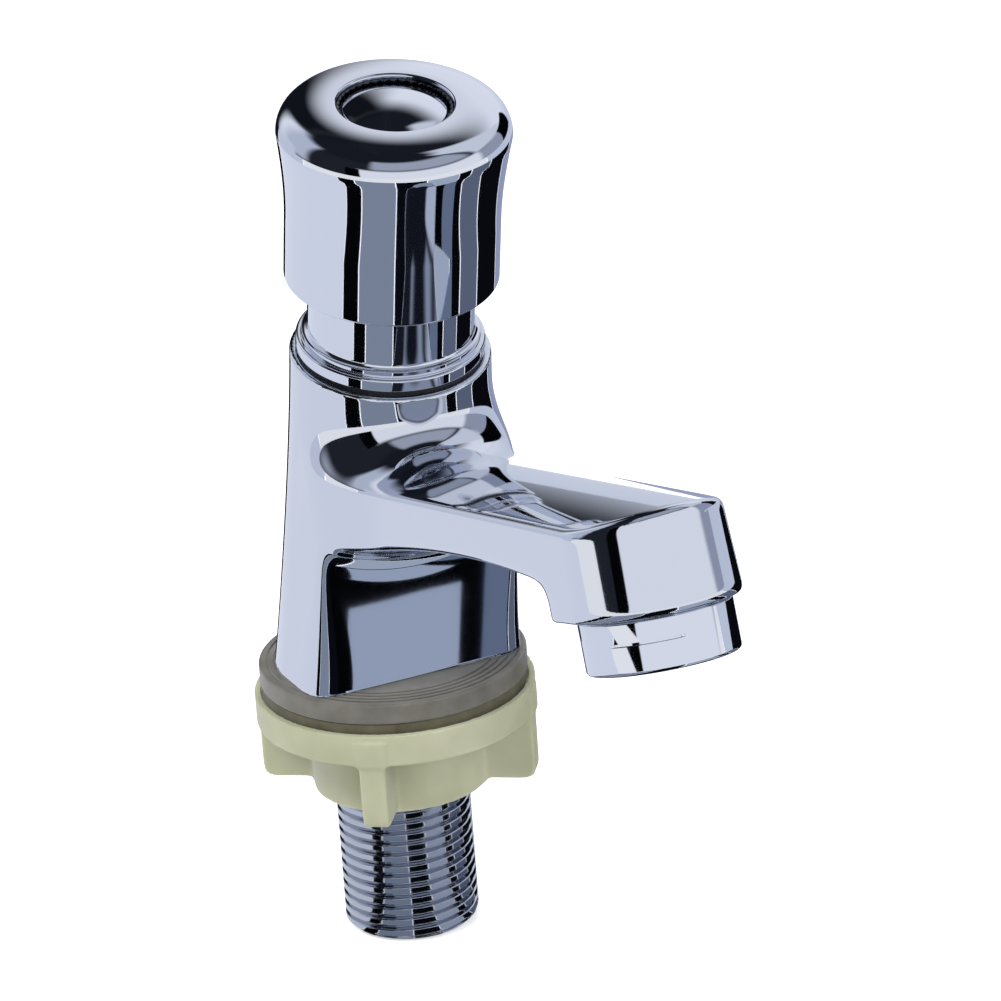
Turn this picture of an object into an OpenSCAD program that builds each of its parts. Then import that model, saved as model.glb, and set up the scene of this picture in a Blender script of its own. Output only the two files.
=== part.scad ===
// Push timed basin tap: a pillar body that leans forward with a rising spout, a push cap on a
// self-closing cartridge, a nozzle, and a threaded inlet shank with its washers and wing nut.
// +Z runs up the shank's axis, +X runs out along the spout. The origin is on the shank's axis,
// in the plane where the base gasket meets the deck.

/* [Base and column] */
// Thickness of the gasket between the body and the deck
gasket_thick = 3.3; // [2:0.1:5]
// Radius of the base gasket
gasket_r = 20.8; // [19.5:0.1:23]
// Radius of the round back of the body's foot
foot_r = 18.2; // [17.5:0.1:20]
// Distance from the shank's axis to the flat front of the foot
foot_front = 11.3; // [11:0.1:14]
// Radius of the foot's two front corners
foot_corner_r = 3.5; // [2:0.1:6]
// Height up to which the column's front is flat
front_top = 27; // [26:0.5:30]
// Lean of that flat front towards the spout, in degrees
front_lean = 7.5; // [6:0.1:9]
// Radius of the round back of the column at that height
waist_r = 16.7; // [16:0.1:18]
// Radius of the front corners at that height
waist_corner_r = 1.5; // [0.8:0.1:3]
// Lean of the cap's axis towards the spout, in degrees
cap_tilt = 12; // [10:0.5:13]
// Distance of the rim's centre in front of the shank's axis
rim_x = 8.4; // [7.5:0.1:9.5]
// Height of the rim's centre above the deck
rim_z = 56.1; // [54.5:0.1:60]
// Radius of the body's round rim
rim_r = 15.2; // [15:0.1:17]

/* [Spout] */
// Half of the spout's width
spout_half_w = 12.4; // [12:0.1:14]
// Rise of the spout's top, in degrees
spout_rise = 13.3; // [10:0.1:16]
// Height at which the line of the spout's top edges crosses the shank's axis
spout_top_z = 34.9; // [33:0.1:38]
// Height of the spout's crown over its top edges
spout_crown = 2.2; // [1:0.1:3]
// Depth of the rounded belly under the spout's lower edges
spout_belly = 2; // [1:0.1:3]
// Height of the spout's lower edges above the foot's flat front
spout_under_z = 26; // [25:0.1:28]
// Slope of the spout's lower edges above the foot's flat front
under_slope = 0.4175; // [0.38:0.0025:0.44]
// How fast that slope flattens, per millimetre
under_bend = 0.0019; // [0.0015:0.0001:0.0022]
// Radius of the fillet between the column and the top of the spout
spout_fillet_r = 9; // [6:0.5:12]
// Radius of the spout's waterway
waterway_r = 3.1; // [2.5:0.1:3.4]
// Depth of the waterway's axis below the spout's top edges
waterway_depth = 3.3; // [3:0.1:3.6]

/* [Nozzle] */
// Distance of the nozzle's mouth in front of the shank's axis
nozzle_x = 97; // [92:0.5:100]
// Height of the nozzle's mouth above the deck
nozzle_z = 36.4; // [35:0.1:38]
// Lean of the nozzle's axis, in degrees
nozzle_tilt = 17; // [13:0.5:19]
// Outer radius of the nozzle
nozzle_r = 11; // [10.8:0.1:11.6]
// Length of the nozzle below the spout
nozzle_len = 7.7; // [6:0.1:9]
// Radius of the spout's round end at its bottom
end_r = 12.8; // [12.6:0.1:13.5]
// Radius of the spout's round end at its top
end_top_r = 12; // [11.8:0.1:12.5]
// Radius of the nozzle's threaded neck inside the spout
nozzle_neck_r = 10; // [9.6:0.1:10.2]
// Length of that neck
nozzle_neck_len = 6.4; // [5:0.1:7]
// Radius of the nozzle's bore
nozzle_bore_r = 9; // [8.6:0.1:9.2]
// Radius of the nozzle's mouth
mouth_r = 8.2; // [7.8:0.1:8.4]
// Thickness of the lip round the mouth
mouth_lip = 1.2; // [0.8:0.1:1.6]
// Length of the tool slot in the nozzle's side
tool_slot_len = 10; // [6:0.5:12]
// Height of the tool slot
tool_slot_h = 0.6; // [0.4:0.1:1]
// Thickness of the screens in the aerator
screen_thick = 0.6; // [0.4:0.1:0.8]
// Length of the aerator cartridge
aerator_len = 9; // [7:0.1:10]

/* [Cap] */
// Travel of the push cap
travel = 8; // [6:0.5:8.5]
// Height of the cap's foot above the rim
cap_foot = 12.9; // [12.9:0.1:14]
// Radius of the cap's straight side
cap_r = 16.15; // [15.8:0.05:17]
// Radius of the cap's flared head
cap_head_r = 17.5; // [17:0.1:18.5]
// Height of the straight side above the foot
cap_side_h = 11; // [8:0.5:13]
// Height of the head's widest ring above the foot
cap_head_h = 25.2; // [24.5:0.1:26]
// Radius of the head's shoulder
cap_shoulder_r = 2.6; // [1.5:0.1:3.5]
// Height of the cap's top lip above the foot
cap_lip_h = 28.8; // [28.5:0.1:30]
// Radius of the recess in the top of the cap
recess_r = 8.65; // [8.4:0.05:9]
// Depth of that recess
recess_depth = 4.2; // [4:0.1:4.6]
// Radius of the cap's hollow
cap_hollow_r = 13.6; // [13.4:0.1:14]
// Depth of the cap's hollow
cap_hollow_h = 21.3; // [21:0.1:21.8]
// Radius of the insert button
insert_r = 7.8; // [7:0.1:8]
// Rise of the insert's dome
insert_dome = 1.6; // [0.8:0.1:2.2]

/* [Bonnet and cartridge] */
// Radius of the bonnet's smooth neck
neck_r = 12.6; // [12:0.1:13]
// Radius of the bonnet's flange on the rim
flange_r = 14.3; // [13.8:0.1:14.6]
// Thickness of the flange
flange_thick = 2; // [1.2:0.1:2]
// Thickness of the ring under the flange
bonnet_seal_thick = 0.6; // [0.4:0.1:1]
// Radius of the bonnet's threaded skirt
skirt_r = 10.9; // [10.6:0.1:11]
// Length of the skirt below the rim
skirt_len = 10; // [8:0.5:11]
// Radius of the bonnet's bore, in which the piston slides
piston_bore_r = 9.4; // [9.2:0.1:9.6]
// Height of the end of that bore above the rim
piston_bore_top = 18; // [17.5:0.1:19]
// Height of the neck's top above the rim
neck_top = 22.7; // [22:0.1:23]
// Radius of the spindle
spindle_r = 3; // [2.6:0.1:3.2]
// Outer radius of the guide bush
bush_r = 5; // [4.6:0.1:5.6]
// Length of the piston
piston_len = 6; // [5:0.1:6.5]
// Height of the piston's foot above the rim, cap up
piston_foot = 4.7; // [4:0.1:5]
// Distance of the metering pin from the cap's axis
metering_pin_off = 7; // [6.9:0.05:7.1]
// Radius of the metering pin
metering_pin_r = 0.5; // [0.4:0.05:0.55]
// Wire of the return spring
spring_wire = 1.2; // [1:0.1:1.3]
// Mean radius of the return spring's coil
spring_r = 5.5; // [5.2:0.1:5.6]
// Number of turns of the return spring
spring_turns = 4; // [3:1:4]
// Outer radius of the cartridge sleeve
sleeve_r = 9.8; // [9.5:0.1:10]
// Radius of the sleeve's bore
sleeve_bore_r = 7.6; // [7:0.1:7.8]
// Radius of the sleeve's ports
port_r = 2.2; // [1.8:0.1:2.4]

/* [Valve] */
// Depth of the valve's shoulder below the rim
valve_depth = 27.3; // [27:0.1:28]
// Radius of the valve's lower chamber
chamber_r = 8.6; // [8.4:0.1:8.8]
// Radius of the hole in the valve seat
seat_hole_r = 4.8; // [4.6:0.1:5]
// Radius of the valve disc
disc_r = 7; // [6.6:0.1:7.2]
// Thickness of the valve disc
disc_thick = 3; // [2.5:0.1:3.2]

/* [Shank and fixings] */
// Radius of the thread's crests: half of 20.955 mm, the major diameter of a half inch pipe thread
thread_r = 10.4775; // [10.2:0.0025:10.5]
// Pitch of that thread
thread_pitch = 1.814; // [1.6:0.002:2]
// Depth of that thread, whose crests are broad and flat
thread_depth = 0.75; // [0.5:0.01:1]
// Width of those crests along the axis
crest_w = 0.9; // [0.3:0.05:1]
// Length of the shank below the deck
shank_len = 41.5; // [38:0.5:60]
// Radius of the shank's bore
shank_bore_r = 6.5; // [6:0.1:7]
// Radius of the shank's spigot inside the body
spigot_r = 8.6; // [8.2:0.1:8.8]
// Length of that spigot
spigot_len = 7; // [6:0.1:7.4]
// Thickness of the clamp washer under the deck
washer_thick = 2.4; // [2:0.1:3]
// Radius of the clamp washer
washer_r = 20.5; // [19.5:0.1:21]
// Radius of the back nut's flange
nut_flange_r = 21.8; // [21:0.1:23]
// Thickness of that flange
nut_flange_thick = 4.2; // [3.5:0.1:5]
// Radius of the nut's hub
nut_hub_r = 13.7; // [13:0.1:15]
// Height of the whole nut
nut_h = 15.6; // [14:0.1:17]
// Thickness of each wing of the nut
wing_thick = 4; // [3:0.1:5]
// Number of wings
wing_count = 4; // [3:1:6]

/* [Hidden] */
$fn = 96;
hull_fn = 40;
slip = 0.05;
touch_gap = 0.1;
soft_gap = 0.3;
over = 0.1;

chrome = "#c9ccd6";
brass = "#c9a75a";
steel = "#a9acb0";
ivory = "#e4e3bd";
gasket_grey = "#9b948a";
washer_brown = "#7d7566";
black_rubber = "#2b2b2d";
white_plastic = "#e8e6df";

body_z = gasket_thick;
crown_r = (spout_half_w * spout_half_w + spout_crown * spout_crown) / (2 * spout_crown);
cartridge_bore_r = skirt_r + touch_gap;
neck_top_s = nozzle_len + nozzle_neck_len;
nozzle_seal_thick = 1;
block_bore_top = neck_top_s + nozzle_seal_thick;
water_chamber_r = nozzle_neck_r - 3;
water_chamber_h = 3.4;
skirt_foot = -skirt_len;
flange_foot = bonnet_seal_thick;
flange_top = flange_foot + flange_thick;
step_r = (flange_r + neck_r) / 2;
step_h = 0.9;
step_top = flange_top + step_h;
seat_foot = -valve_depth;
seal_thick = 1;
seat_top = seat_foot + seal_thick + 1.3;
seal_inner_r = chamber_r + 0.5;
seat_nose_r = seal_inner_r - 0.4;
sleeve_flange_r = cartridge_bore_r - 0.2;
sleeve_flange_h = 1.5;
sleeve_wall = 2;
port_u = seat_top + sleeve_flange_h + port_r + 0.6;
chamber_foot = seat_foot - disc_thick - travel - 3.6;
disc_top = seat_foot - touch_gap;
disc_foot = disc_top - disc_thick;
screw_head_h = 2;
tip_r = 2;
shoulder_r = seat_hole_r - 0.6;
shoulder_h = 1.5;
circlip_thick = 0.8;
circlip_r = spindle_r + 1.6;
groove_r = spindle_r - 0.45;
seal_groove_r = 8;
seal_groove_h = 2;
metering_hole_r = metering_pin_r + touch_gap;
recess_floor = cap_foot + cap_lip_h - recess_depth;
cap_screw_web = 2;
spindle_top = recess_floor - cap_screw_web;
boss_foot = neck_top + 1 + travel + 0.8;
screw_r = 2;
screw_hole_depth = 7;
cap_screw_head_r = 3.4;
cap_screw_head_h = 1.4;
ring_inner_r = insert_r - 1;
ring_h = recess_depth - 1.9;
dome_edge = recess_floor + recess_depth - 1.2;
dome_r = (insert_r * insert_r + insert_dome * insert_dome) / (2 * insert_dome);
nut_top = -washer_thick;
nut_bore_r = thread_r + 0.07;
filter_r = shank_bore_r - 0.05;
filter_foot = -shank_len + 3;
root_x = 8;
root_len = 22;
root_flare = 3.6;
root_steps = 18;
along_steps = 16;
across_steps = 16;
slab = 0.6;
waist_draw = 0.2;
spout_end_back = 4.5;
spout_end_x = nozzle_x - spout_end_back;
drop_back = 14.5;
drop_start = nozzle_x - drop_back;
drop_len = 11;
fillet_col_r = rim_r + 0.5;
fillet_col_x = rim_x - 2.6;
fillet_reach = 0.8;
fillet_limit = 0.98;
block_h = 18;
water_start = rim_x / cos(spout_rise);
water_end = (nozzle_x - nozzle_len) / cos(spout_rise);
inlet_rise = 7;
root_w = 0.12;
end_chamfer = 0.3;
aerator_hole_place = 5;
thread_foot = end_chamfer - shank_len;
thread_runout = 2;
gasket_grooves = 4;
groove_step = 1.1;
groove_w = 0.4;
groove_depth = 0.3;
nut_lip_h = 0.9;
wing_angle = -35;
wing_step = 0.7;
wing_round = 2.5;
basket_r = 5.2;
basket_h = 10;
basket_wall = 0.6;
filter_ring_h = 1.5;
seal_shelf = piston_bore_top + 0.8;
seal_ring_r = 0.9;
bush_foot = seal_shelf + 2 * seal_ring_r + 2 * slip;
bush_flange_h = 1;
metering_seat = 2;
pin_foot = piston_foot - travel - 0.7;
circlip_u = piston_foot - slip - circlip_thick;
disc_screw_r = 1.15;
disc_screw_len = 5;
disc_screw_head_r = 4;
boss_r = 5.6;
foot_round = 0.6;
flare_step = 0.125;
shoulder_turn = 68;
lip_round = 0.4;
guide_ring_h = 4;
collar_thick = 0.5;
collar_h = 1.2;
knurls = 40;
knurl_r = 0.25;
tool_slot_depth = 0.5;
slot_angle = -35;
screen_bars = 5;
screen_step = 1.5;
screen_bar_w = 0.35;

// A point of the cap's axis has height u above the rim
module on_cap_axis(u = 0) {
  translate([rim_x, 0, rim_z]) rotate([0, cap_tilt, 0]) translate([0, 0, u]) children();
}

// A point of the nozzle's axis has height s above the nozzle's mouth
module on_nozzle_axis(s = 0) {
  translate([nozzle_x, 0, nozzle_z]) rotate([0, -nozzle_tilt, 0]) translate([0, 0, s]) children();
}

module tube(r_out, r_in, h) {
  difference() {
    cylinder(r = r_out, h = h);
    translate([0, 0, -over]) cylinder(r = r_in, h = h + 2 * over);
  }
}

function under_z(x) = spout_under_z + under_slope * (x - foot_front)
    - under_bend * (x - foot_front) * (x - foot_front);

function top_z(x) = spout_top_z + tan(spout_rise) * x;

// One level slice of the column: half a disc at the back, and two corners at the flat front
module column_slice(x, z, front, half_w, back_r, corner_r) {
  translate([x, 0, z]) difference() {
    cylinder(r = back_r, h = slab, $fn = hull_fn);
    translate([0, -back_r - over, -over]) cube([back_r + over, 2 * (back_r + over), slab + 2 * over]);
  }
  for (side = [-1, 1]) translate([front - corner_r, side * (half_w - corner_r), z])
    cylinder(r = corner_r, h = slab, $fn = hull_fn);
}

module foot_slice() {
  column_slice(0, body_z, foot_front, foot_r, foot_r, foot_corner_r);
}

module waist_slice() {
  share = (front_top - body_z) / (rim_z - body_z);
  front = foot_front + (front_top - body_z) * tan(front_lean);
  column_slice(rim_x * share, front_top, front, waist_r - waist_draw, waist_r, waist_corner_r);
}

// The column is flat at the front up to the spout, and runs on to the round, tilted rim
module column() {
  hull() {
    foot_slice();
    waist_slice();
  }
  hull() {
    waist_slice();
    on_cap_axis(-slab) cylinder(r = rim_r, h = slab, $fn = hull_fn);
  }
}

// One section of the spout across x: crowned top, straight sides, rounded belly
function half_w(x) = spout_half_w + root_flare * pow(max(0, 1 - (x - root_x) / root_len), 2);

function column_front(y) = fillet_col_x + sqrt(max(1, fillet_col_r * fillet_col_r - y * y));

function fillet_rise(x, y) =
    let (d = min(spout_fillet_r * fillet_limit, max(0, column_front(y) + spout_fillet_r * fillet_reach - x)))
    spout_fillet_r - sqrt(spout_fillet_r * spout_fillet_r - d * d);

function drop(x) = let (t = min(1, max(0, (x - drop_start) / drop_len))) t * t * (3 - 2 * t);

function block_foot_z(x) = nozzle_z + nozzle_len / cos(nozzle_tilt)
    + tan(nozzle_tilt) * (x - nozzle_x);

function bottom_z(x) = under_z(x) * (1 - drop(x)) + block_foot_z(x) * drop(x);

function bulge(y, w) = 1 - (y / w) * (y / w);

function spout_section(x) = let (w = half_w(x), n = across_steps) concat(
    [for (i = [0:n]) let (y = -w + 2 * w * i / n)
        [x, y, top_z(x) + spout_crown * bulge(y, w) + fillet_rise(x, y)]],
    [for (i = [0:n]) let (y = w - 2 * w * i / n)
        [x, y, bottom_z(x) - spout_belly * bulge(y, w) * (1 - drop(x))]]);

// A closed skin over sections that have the same number of points
module skin(sections) {
  n = len(sections[0]);
  m = len(sections);
  points = [for (s = sections) for (p = s) p];
  sides = [for (j = [0:m - 2]) for (i = [0:n - 1]) let (k = (i + 1) % n)
      each [[j * n + i, j * n + k, (j + 1) * n + i], [j * n + k, (j + 1) * n + k, (j + 1) * n + i]]];
  first = [for (i = [1:n - 2]) [0, i + 1, i]];
  last = [for (i = [1:n - 2]) [(m - 1) * n, (m - 1) * n + i, (m - 1) * n + i + 1]];
  polyhedron(points = points, faces = concat(sides, first, last));
}

module spout() {
  root = [for (i = [0:root_steps - 1]) root_x + i * root_len / root_steps];
  reach = [for (i = [0:along_steps])
      root_x + root_len + i * (spout_end_x - root_x - root_len) / along_steps];
  skin([for (x = concat(root, reach)) spout_section(x)]);
}

// The round end of the spout, cut to the spout's crown
module spout_end() {
  intersection() {
    on_nozzle_axis(nozzle_len) cylinder(r1 = end_r, r2 = end_top_r, h = block_h);
    translate([0, 0, spout_top_z + spout_crown - crown_r / cos(spout_rise)])
      rotate([0, 90 - spout_rise, 0]) cylinder(r = crown_r, h = 2 * nozzle_x);
  }
}

module waterway() {
  translate([0, 0, spout_top_z - waterway_depth])
    rotate([0, 90 - spout_rise, 0])
      translate([0, 0, water_start]) cylinder(r = waterway_r, h = water_end - water_start);
}

module tap_body() {
  color(chrome) difference() {
    union() {
      column();
      spout();
      spout_end();
    }
    on_cap_axis(seat_foot) cylinder(r = cartridge_bore_r, h = valve_depth + over);
    on_cap_axis(chamber_foot) cylinder(r = chamber_r, h = seat_foot - chamber_foot + over);
    translate([0, 0, body_z + spigot_len - over]) cylinder(r = shank_bore_r, h = inlet_rise);
    translate([0, 0, body_z - over]) cylinder(r = spigot_r + slip, h = spigot_len + over);
    waterway();
    on_nozzle_axis(nozzle_len - over)
      cylinder(r = nozzle_neck_r + slip, h = block_bore_top - nozzle_len + over);
    on_nozzle_axis(block_bore_top - over) cylinder(r = water_chamber_r, h = water_chamber_h);
  }
}

// The thread is drawn as rings at its true pitch, with flat crests
module inlet_shank() {
  teeth = floor((shank_len - thread_runout) / thread_pitch);
  root_r = thread_r - thread_depth;
  flank = (thread_pitch - crest_w - root_w) / 2;
  ridges = [for (i = [0:teeth - 1]) let (z = thread_foot + i * thread_pitch)
      each [[root_r, z], [thread_r, z + flank], [thread_r, z + flank + crest_w],
          [root_r, z + 2 * flank + crest_w]]];
  color(chrome) rotate_extrude() polygon(concat(
    [[shank_bore_r, -shank_len], [root_r - end_chamfer, -shank_len], [root_r, thread_foot]],
    ridges,
    [[root_r, thread_foot + teeth * thread_pitch], [thread_r, -touch_gap], [thread_r, body_z],
        [spigot_r, body_z], [spigot_r, body_z + spigot_len], [shank_bore_r, body_z + spigot_len]]));
}

module base_gasket() {
  color(gasket_grey) difference() {
    cylinder(r = gasket_r, h = gasket_thick);
    translate([0, 0, -over]) cylinder(r = thread_r + soft_gap, h = gasket_thick + 2 * over);
    for (i = [1:gasket_grooves]) translate([0, 0, gasket_thick - groove_depth])
      tube(gasket_r - i * groove_step, gasket_r - i * groove_step - groove_w, groove_depth + over);
  }
}

module clamp_washer() {
  color(washer_brown) translate([0, 0, -washer_thick])
    tube(washer_r, thread_r + soft_gap, washer_thick);
}

// Flange with a lip round the washer, hub, and wings with rounded outer corners
module back_nut() {
  color(ivory) translate([0, 0, nut_top]) difference() {
    union() {
      translate([0, 0, -nut_flange_thick]) cylinder(r = nut_flange_r, h = nut_flange_thick);
      tube(nut_flange_r, washer_r + soft_gap, nut_lip_h);
      translate([0, 0, -nut_h]) cylinder(r = nut_hub_r, h = nut_h);
      for (i = [0:wing_count - 1]) rotate([0, 0, wing_angle + i * 360 / wing_count]) wing();
    }
    translate([0, 0, -nut_h - over]) cylinder(r = nut_bore_r, h = nut_h + 2 * over);
  }
}

module wing() {
  low = nut_h - wing_step;
  translate([0, wing_thick / 2, 0]) rotate([90, 0, 0]) linear_extrude(wing_thick) union() {
    translate([nut_bore_r + 1, -low]) square([nut_flange_r - nut_bore_r - 1 - wing_round, low]);
    translate([nut_bore_r + 1, wing_round - low])
      square([nut_flange_r - nut_bore_r - 1, low - wing_round]);
    translate([nut_flange_r - wing_round, wing_round - low]) circle(r = wing_round);
  }
}

module inlet_filter() {
  color(white_plastic) translate([0, 0, filter_foot]) difference() {
    union() {
      cylinder(r = basket_r, h = basket_h);
      translate([0, 0, basket_h]) cylinder(r1 = basket_r, r2 = basket_r / 2, h = basket_wall * 3);
    }
    translate([0, 0, -over]) cylinder(r = basket_r - basket_wall, h = basket_h + over);
    for (i = [0:3]) rotate([0, 0, i * 45])
      translate([-basket_r - over, -0.5, 2])
        cube([2 * basket_r + 2 * over, 1, basket_h - 3.5]);
  }
}

module filter_ring() {
  color(brass) translate([0, 0, filter_foot]) tube(filter_r, basket_r + slip, filter_ring_h);
}

module bonnet() {
  round_r = step_r - neck_r;
  color(chrome) on_cap_axis() difference() {
    rotate_extrude() polygon(concat(
      [[piston_bore_r, skirt_foot], [skirt_r, skirt_foot], [skirt_r, flange_foot],
          [flange_r, flange_foot], [flange_r, flange_top - 0.3], [flange_r - 0.3, flange_top],
          [step_r, flange_top], [step_r, step_top]],
      [for (a = [0:15:90]) [neck_r + round_r - round_r * sin(a), step_top + round_r - round_r * cos(a)]],
      [[neck_r, neck_top - 0.5], [neck_r - 0.5, neck_top], [bush_r + slip, neck_top],
          [bush_r + slip, seal_shelf], [spindle_r + 0.6, seal_shelf],
          [spindle_r + 0.6, piston_bore_top], [piston_bore_r, piston_bore_top]]));
    translate([metering_pin_off, 0, piston_bore_top - over])
      cylinder(r = metering_pin_r + slip, h = metering_seat + over, $fn = 24);
  }
}

module bonnet_seal() {
  color(black_rubber) on_cap_axis() tube(flange_r - 0.5, skirt_r + slip, bonnet_seal_thick);
}

module cartridge_sleeve() {
  color(brass) on_cap_axis() difference() {
    union() {
      translate([0, 0, seat_top]) cylinder(r = sleeve_r, h = skirt_foot - seat_top);
      translate([0, 0, seat_top]) cylinder(r = sleeve_flange_r, h = sleeve_flange_h);
    }
    translate([0, 0, seat_top - over])
      cylinder(r = sleeve_bore_r, h = skirt_foot - seat_top - sleeve_wall + over);
    translate([0, 0, seat_top]) cylinder(r = spindle_r + 0.4, h = skirt_foot - seat_top + over);
    for (i = [0:3]) rotate([0, 0, i * 90]) translate([0, 0, port_u]) rotate([0, 90, 0])
      cylinder(r = port_r, h = sleeve_flange_r + 1);
  }
}

module seat_seal() {
  color(black_rubber) on_cap_axis(seat_foot)
    tube(cartridge_bore_r - slip, chamber_r + 0.2, seal_thick);
}

module valve_seat() {
  color(brass) on_cap_axis(seat_foot) difference() {
    union() {
      cylinder(r = chamber_r - 0.2, h = seal_thick + over);
      translate([0, 0, seal_thick]) cylinder(r = sleeve_flange_r, h = seat_top - seat_foot - seal_thick);
    }
    translate([0, 0, -over]) cylinder(r = seat_hole_r, h = seat_top - seat_foot + 2 * over);
  }
}

module spindle() {
  color(steel) on_cap_axis() difference() {
    rotate_extrude() polygon([[0, disc_foot], [tip_r, disc_foot], [tip_r, disc_top],
      [shoulder_r, disc_top], [shoulder_r, disc_top + shoulder_h], [spindle_r, disc_top + shoulder_h],
      [spindle_r, circlip_u - slip], [groove_r, circlip_u - slip],
      [groove_r, piston_foot - slip], [spindle_r, piston_foot - slip], [spindle_r, spindle_top],
      [0, spindle_top]]);
    translate([0, 0, disc_foot - over]) cylinder(r = disc_screw_r + slip, h = disc_screw_len + over);
    translate([0, 0, spindle_top - screw_hole_depth])
      cylinder(r = screw_r + slip, h = screw_hole_depth + over);
  }
}

module guide_bush() {
  color(white_plastic) on_cap_axis() difference() {
    union() {
      translate([0, 0, bush_foot]) cylinder(r = bush_r, h = neck_top - bush_foot);
      translate([0, 0, neck_top]) cylinder(r = bush_r + 1.4, h = bush_flange_h);
    }
    translate([0, 0, bush_foot - over])
      cylinder(r = spindle_r + slip, h = neck_top - bush_foot + bush_flange_h + 2 * over);
  }
}

module spindle_seal() {
  color(black_rubber) on_cap_axis(seal_shelf + seal_ring_r + slip) rotate_extrude()
    translate([spindle_r + touch_gap + seal_ring_r, 0]) circle(r = seal_ring_r, $fn = 32);
}

module piston() {
  color(white_plastic) on_cap_axis(piston_foot) difference() {
    cylinder(r = piston_bore_r - 0.07, h = piston_len);
    translate([0, 0, -over]) cylinder(r = spindle_r + slip, h = piston_len + 2 * over);
    translate([0, 0, (piston_len - seal_groove_h) / 2])
      tube(piston_bore_r + 1, seal_groove_r, seal_groove_h);
    translate([metering_pin_off, 0, -over])
      cylinder(r = metering_hole_r, h = piston_len + 2 * over, $fn = 24);
  }
}

module piston_seal() {
  color(black_rubber) on_cap_axis(piston_foot + (piston_len - seal_groove_h) / 2 + slip)
    tube(piston_bore_r - slip, seal_groove_r + slip, seal_groove_h - 2 * slip);
}

module metering_pin() {
  color(steel) on_cap_axis(pin_foot) translate([metering_pin_off, 0, 0])
    cylinder(r = metering_pin_r, h = piston_bore_top + metering_seat - pin_foot, $fn = 24);
}

// Round wire along a helix between the sleeve and the piston
module return_spring() {
  low = skirt_foot + spring_wire / 2 + slip;
  rise = piston_foot - skirt_foot - spring_wire - 2 * slip;
  rings = spring_turns * 20;
  color(steel) on_cap_axis() skin([for (j = [0:rings])
    let (a = 360 * spring_turns * j / rings, z = low + rise * j / rings)
    [for (i = [0:7]) let (b = -45 * i, r = spring_r + spring_wire / 2 * cos(b))
        [r * cos(a), r * sin(a), z + spring_wire / 2 * sin(b)]]]);
}

module circlip() {
  color(steel) on_cap_axis(circlip_u) difference() {
    tube(circlip_r, groove_r + slip, circlip_thick - slip);
    translate([0, -groove_r, -over]) cube([circlip_r + over, 2 * groove_r, circlip_thick + 2 * over]);
  }
}

module valve_disc() {
  color(black_rubber) on_cap_axis(disc_foot) tube(disc_r, tip_r + slip, disc_thick);
}

module disc_screw() {
  color(brass) on_cap_axis(disc_foot) difference() {
    union() {
      translate([0, 0, -screw_head_h]) cylinder(r = disc_screw_head_r, h = screw_head_h);
      cylinder(r = disc_screw_r, h = disc_screw_len - 0.4);
    }
    translate([0, 0, -screw_head_h - over]) cylinder(r = 1.4, h = 1.2 + over, $fn = 6);
  }
}

// Straight side, flare to the head, round shoulder, crown, and the recess for the insert
module push_cap() {
  head_u = cap_foot + cap_head_h;
  lip_u = cap_foot + cap_lip_h;
  side_u = cap_foot + cap_side_h;
  shoulder_x = cap_head_r - cap_shoulder_r;
  end_x = shoulder_x + cap_shoulder_r * cos(shoulder_turn);
  end_u = head_u + cap_shoulder_r * sin(shoulder_turn);
  lip_x = recess_r + lip_round;
  bend_x = (end_x + lip_x) / 2;
  bend_u = lip_u - 0.1;
  color(chrome) on_cap_axis() difference() {
    rotate_extrude() polygon(concat(
      [[0, boss_foot], [boss_r, boss_foot], [boss_r, cap_foot + cap_hollow_h],
          [cap_hollow_r, cap_foot + cap_hollow_h], [cap_hollow_r, cap_foot],
          [cap_r - foot_round, cap_foot]],
      [for (a = [-60:30:0])
          [cap_r - foot_round + foot_round * cos(a), cap_foot + foot_round + foot_round * sin(a)]],
      [for (t = [0:flare_step:1])
          [cap_r + (cap_head_r - cap_r) * (1 - cos(90 * t)), side_u + (head_u - side_u) * t]],
      [for (a = [shoulder_turn / 8:shoulder_turn / 8:shoulder_turn])
          [shoulder_x + cap_shoulder_r * cos(a), head_u + cap_shoulder_r * sin(a)]],
      [for (t = [0.2:0.2:1])
          [(1 - t) * (1 - t) * end_x + 2 * t * (1 - t) * bend_x + t * t * lip_x,
              (1 - t) * (1 - t) * end_u + 2 * t * (1 - t) * bend_u + t * t * lip_u]],
      [[recess_r, lip_u - lip_round], [recess_r, recess_floor], [0, recess_floor]]));
    translate([0, 0, boss_foot - over]) cylinder(r = spindle_r + slip, h = spindle_top - boss_foot + over);
    translate([0, 0, boss_foot]) cylinder(r = screw_r + slip, h = recess_floor - boss_foot + over);
  }
}

module cap_guide_ring() {
  color(white_plastic) on_cap_axis(cap_foot + foot_round)
    tube(cap_hollow_r - slip, neck_r + 0.08, guide_ring_h);
}

module cap_screw() {
  color(steel) on_cap_axis(recess_floor) difference() {
    union() {
      cylinder(r = cap_screw_head_r, h = cap_screw_head_h);
      translate([0, 0, spindle_top - recess_floor - screw_hole_depth + 1])
        cylinder(r = screw_r, h = recess_floor - spindle_top + screw_hole_depth - 1 + over);
    }
    for (a = [0, 90]) rotate([0, 0, a]) translate([-2, -0.35, cap_screw_head_h - 0.8])
      cube([4, 0.7, 1]);
  }
}

// Dark knurled ring that lines the recess and holds the insert
module insert_ring() {
  color(steel) on_cap_axis(recess_floor) difference() {
    union() {
      cylinder(r = recess_r - slip, h = ring_h);
      tube(recess_r - slip, recess_r - collar_thick, ring_h + collar_h);
    }
    translate([0, 0, -over]) cylinder(r = ring_inner_r + slip, h = ring_h + 2 * over);
    for (i = [0:knurls - 1]) rotate([0, 0, i * 360 / knurls])
      translate([recess_r - collar_thick, 0, ring_h]) cylinder(r = knurl_r, h = collar_h + over, $fn = 4);
  }
}

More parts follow.
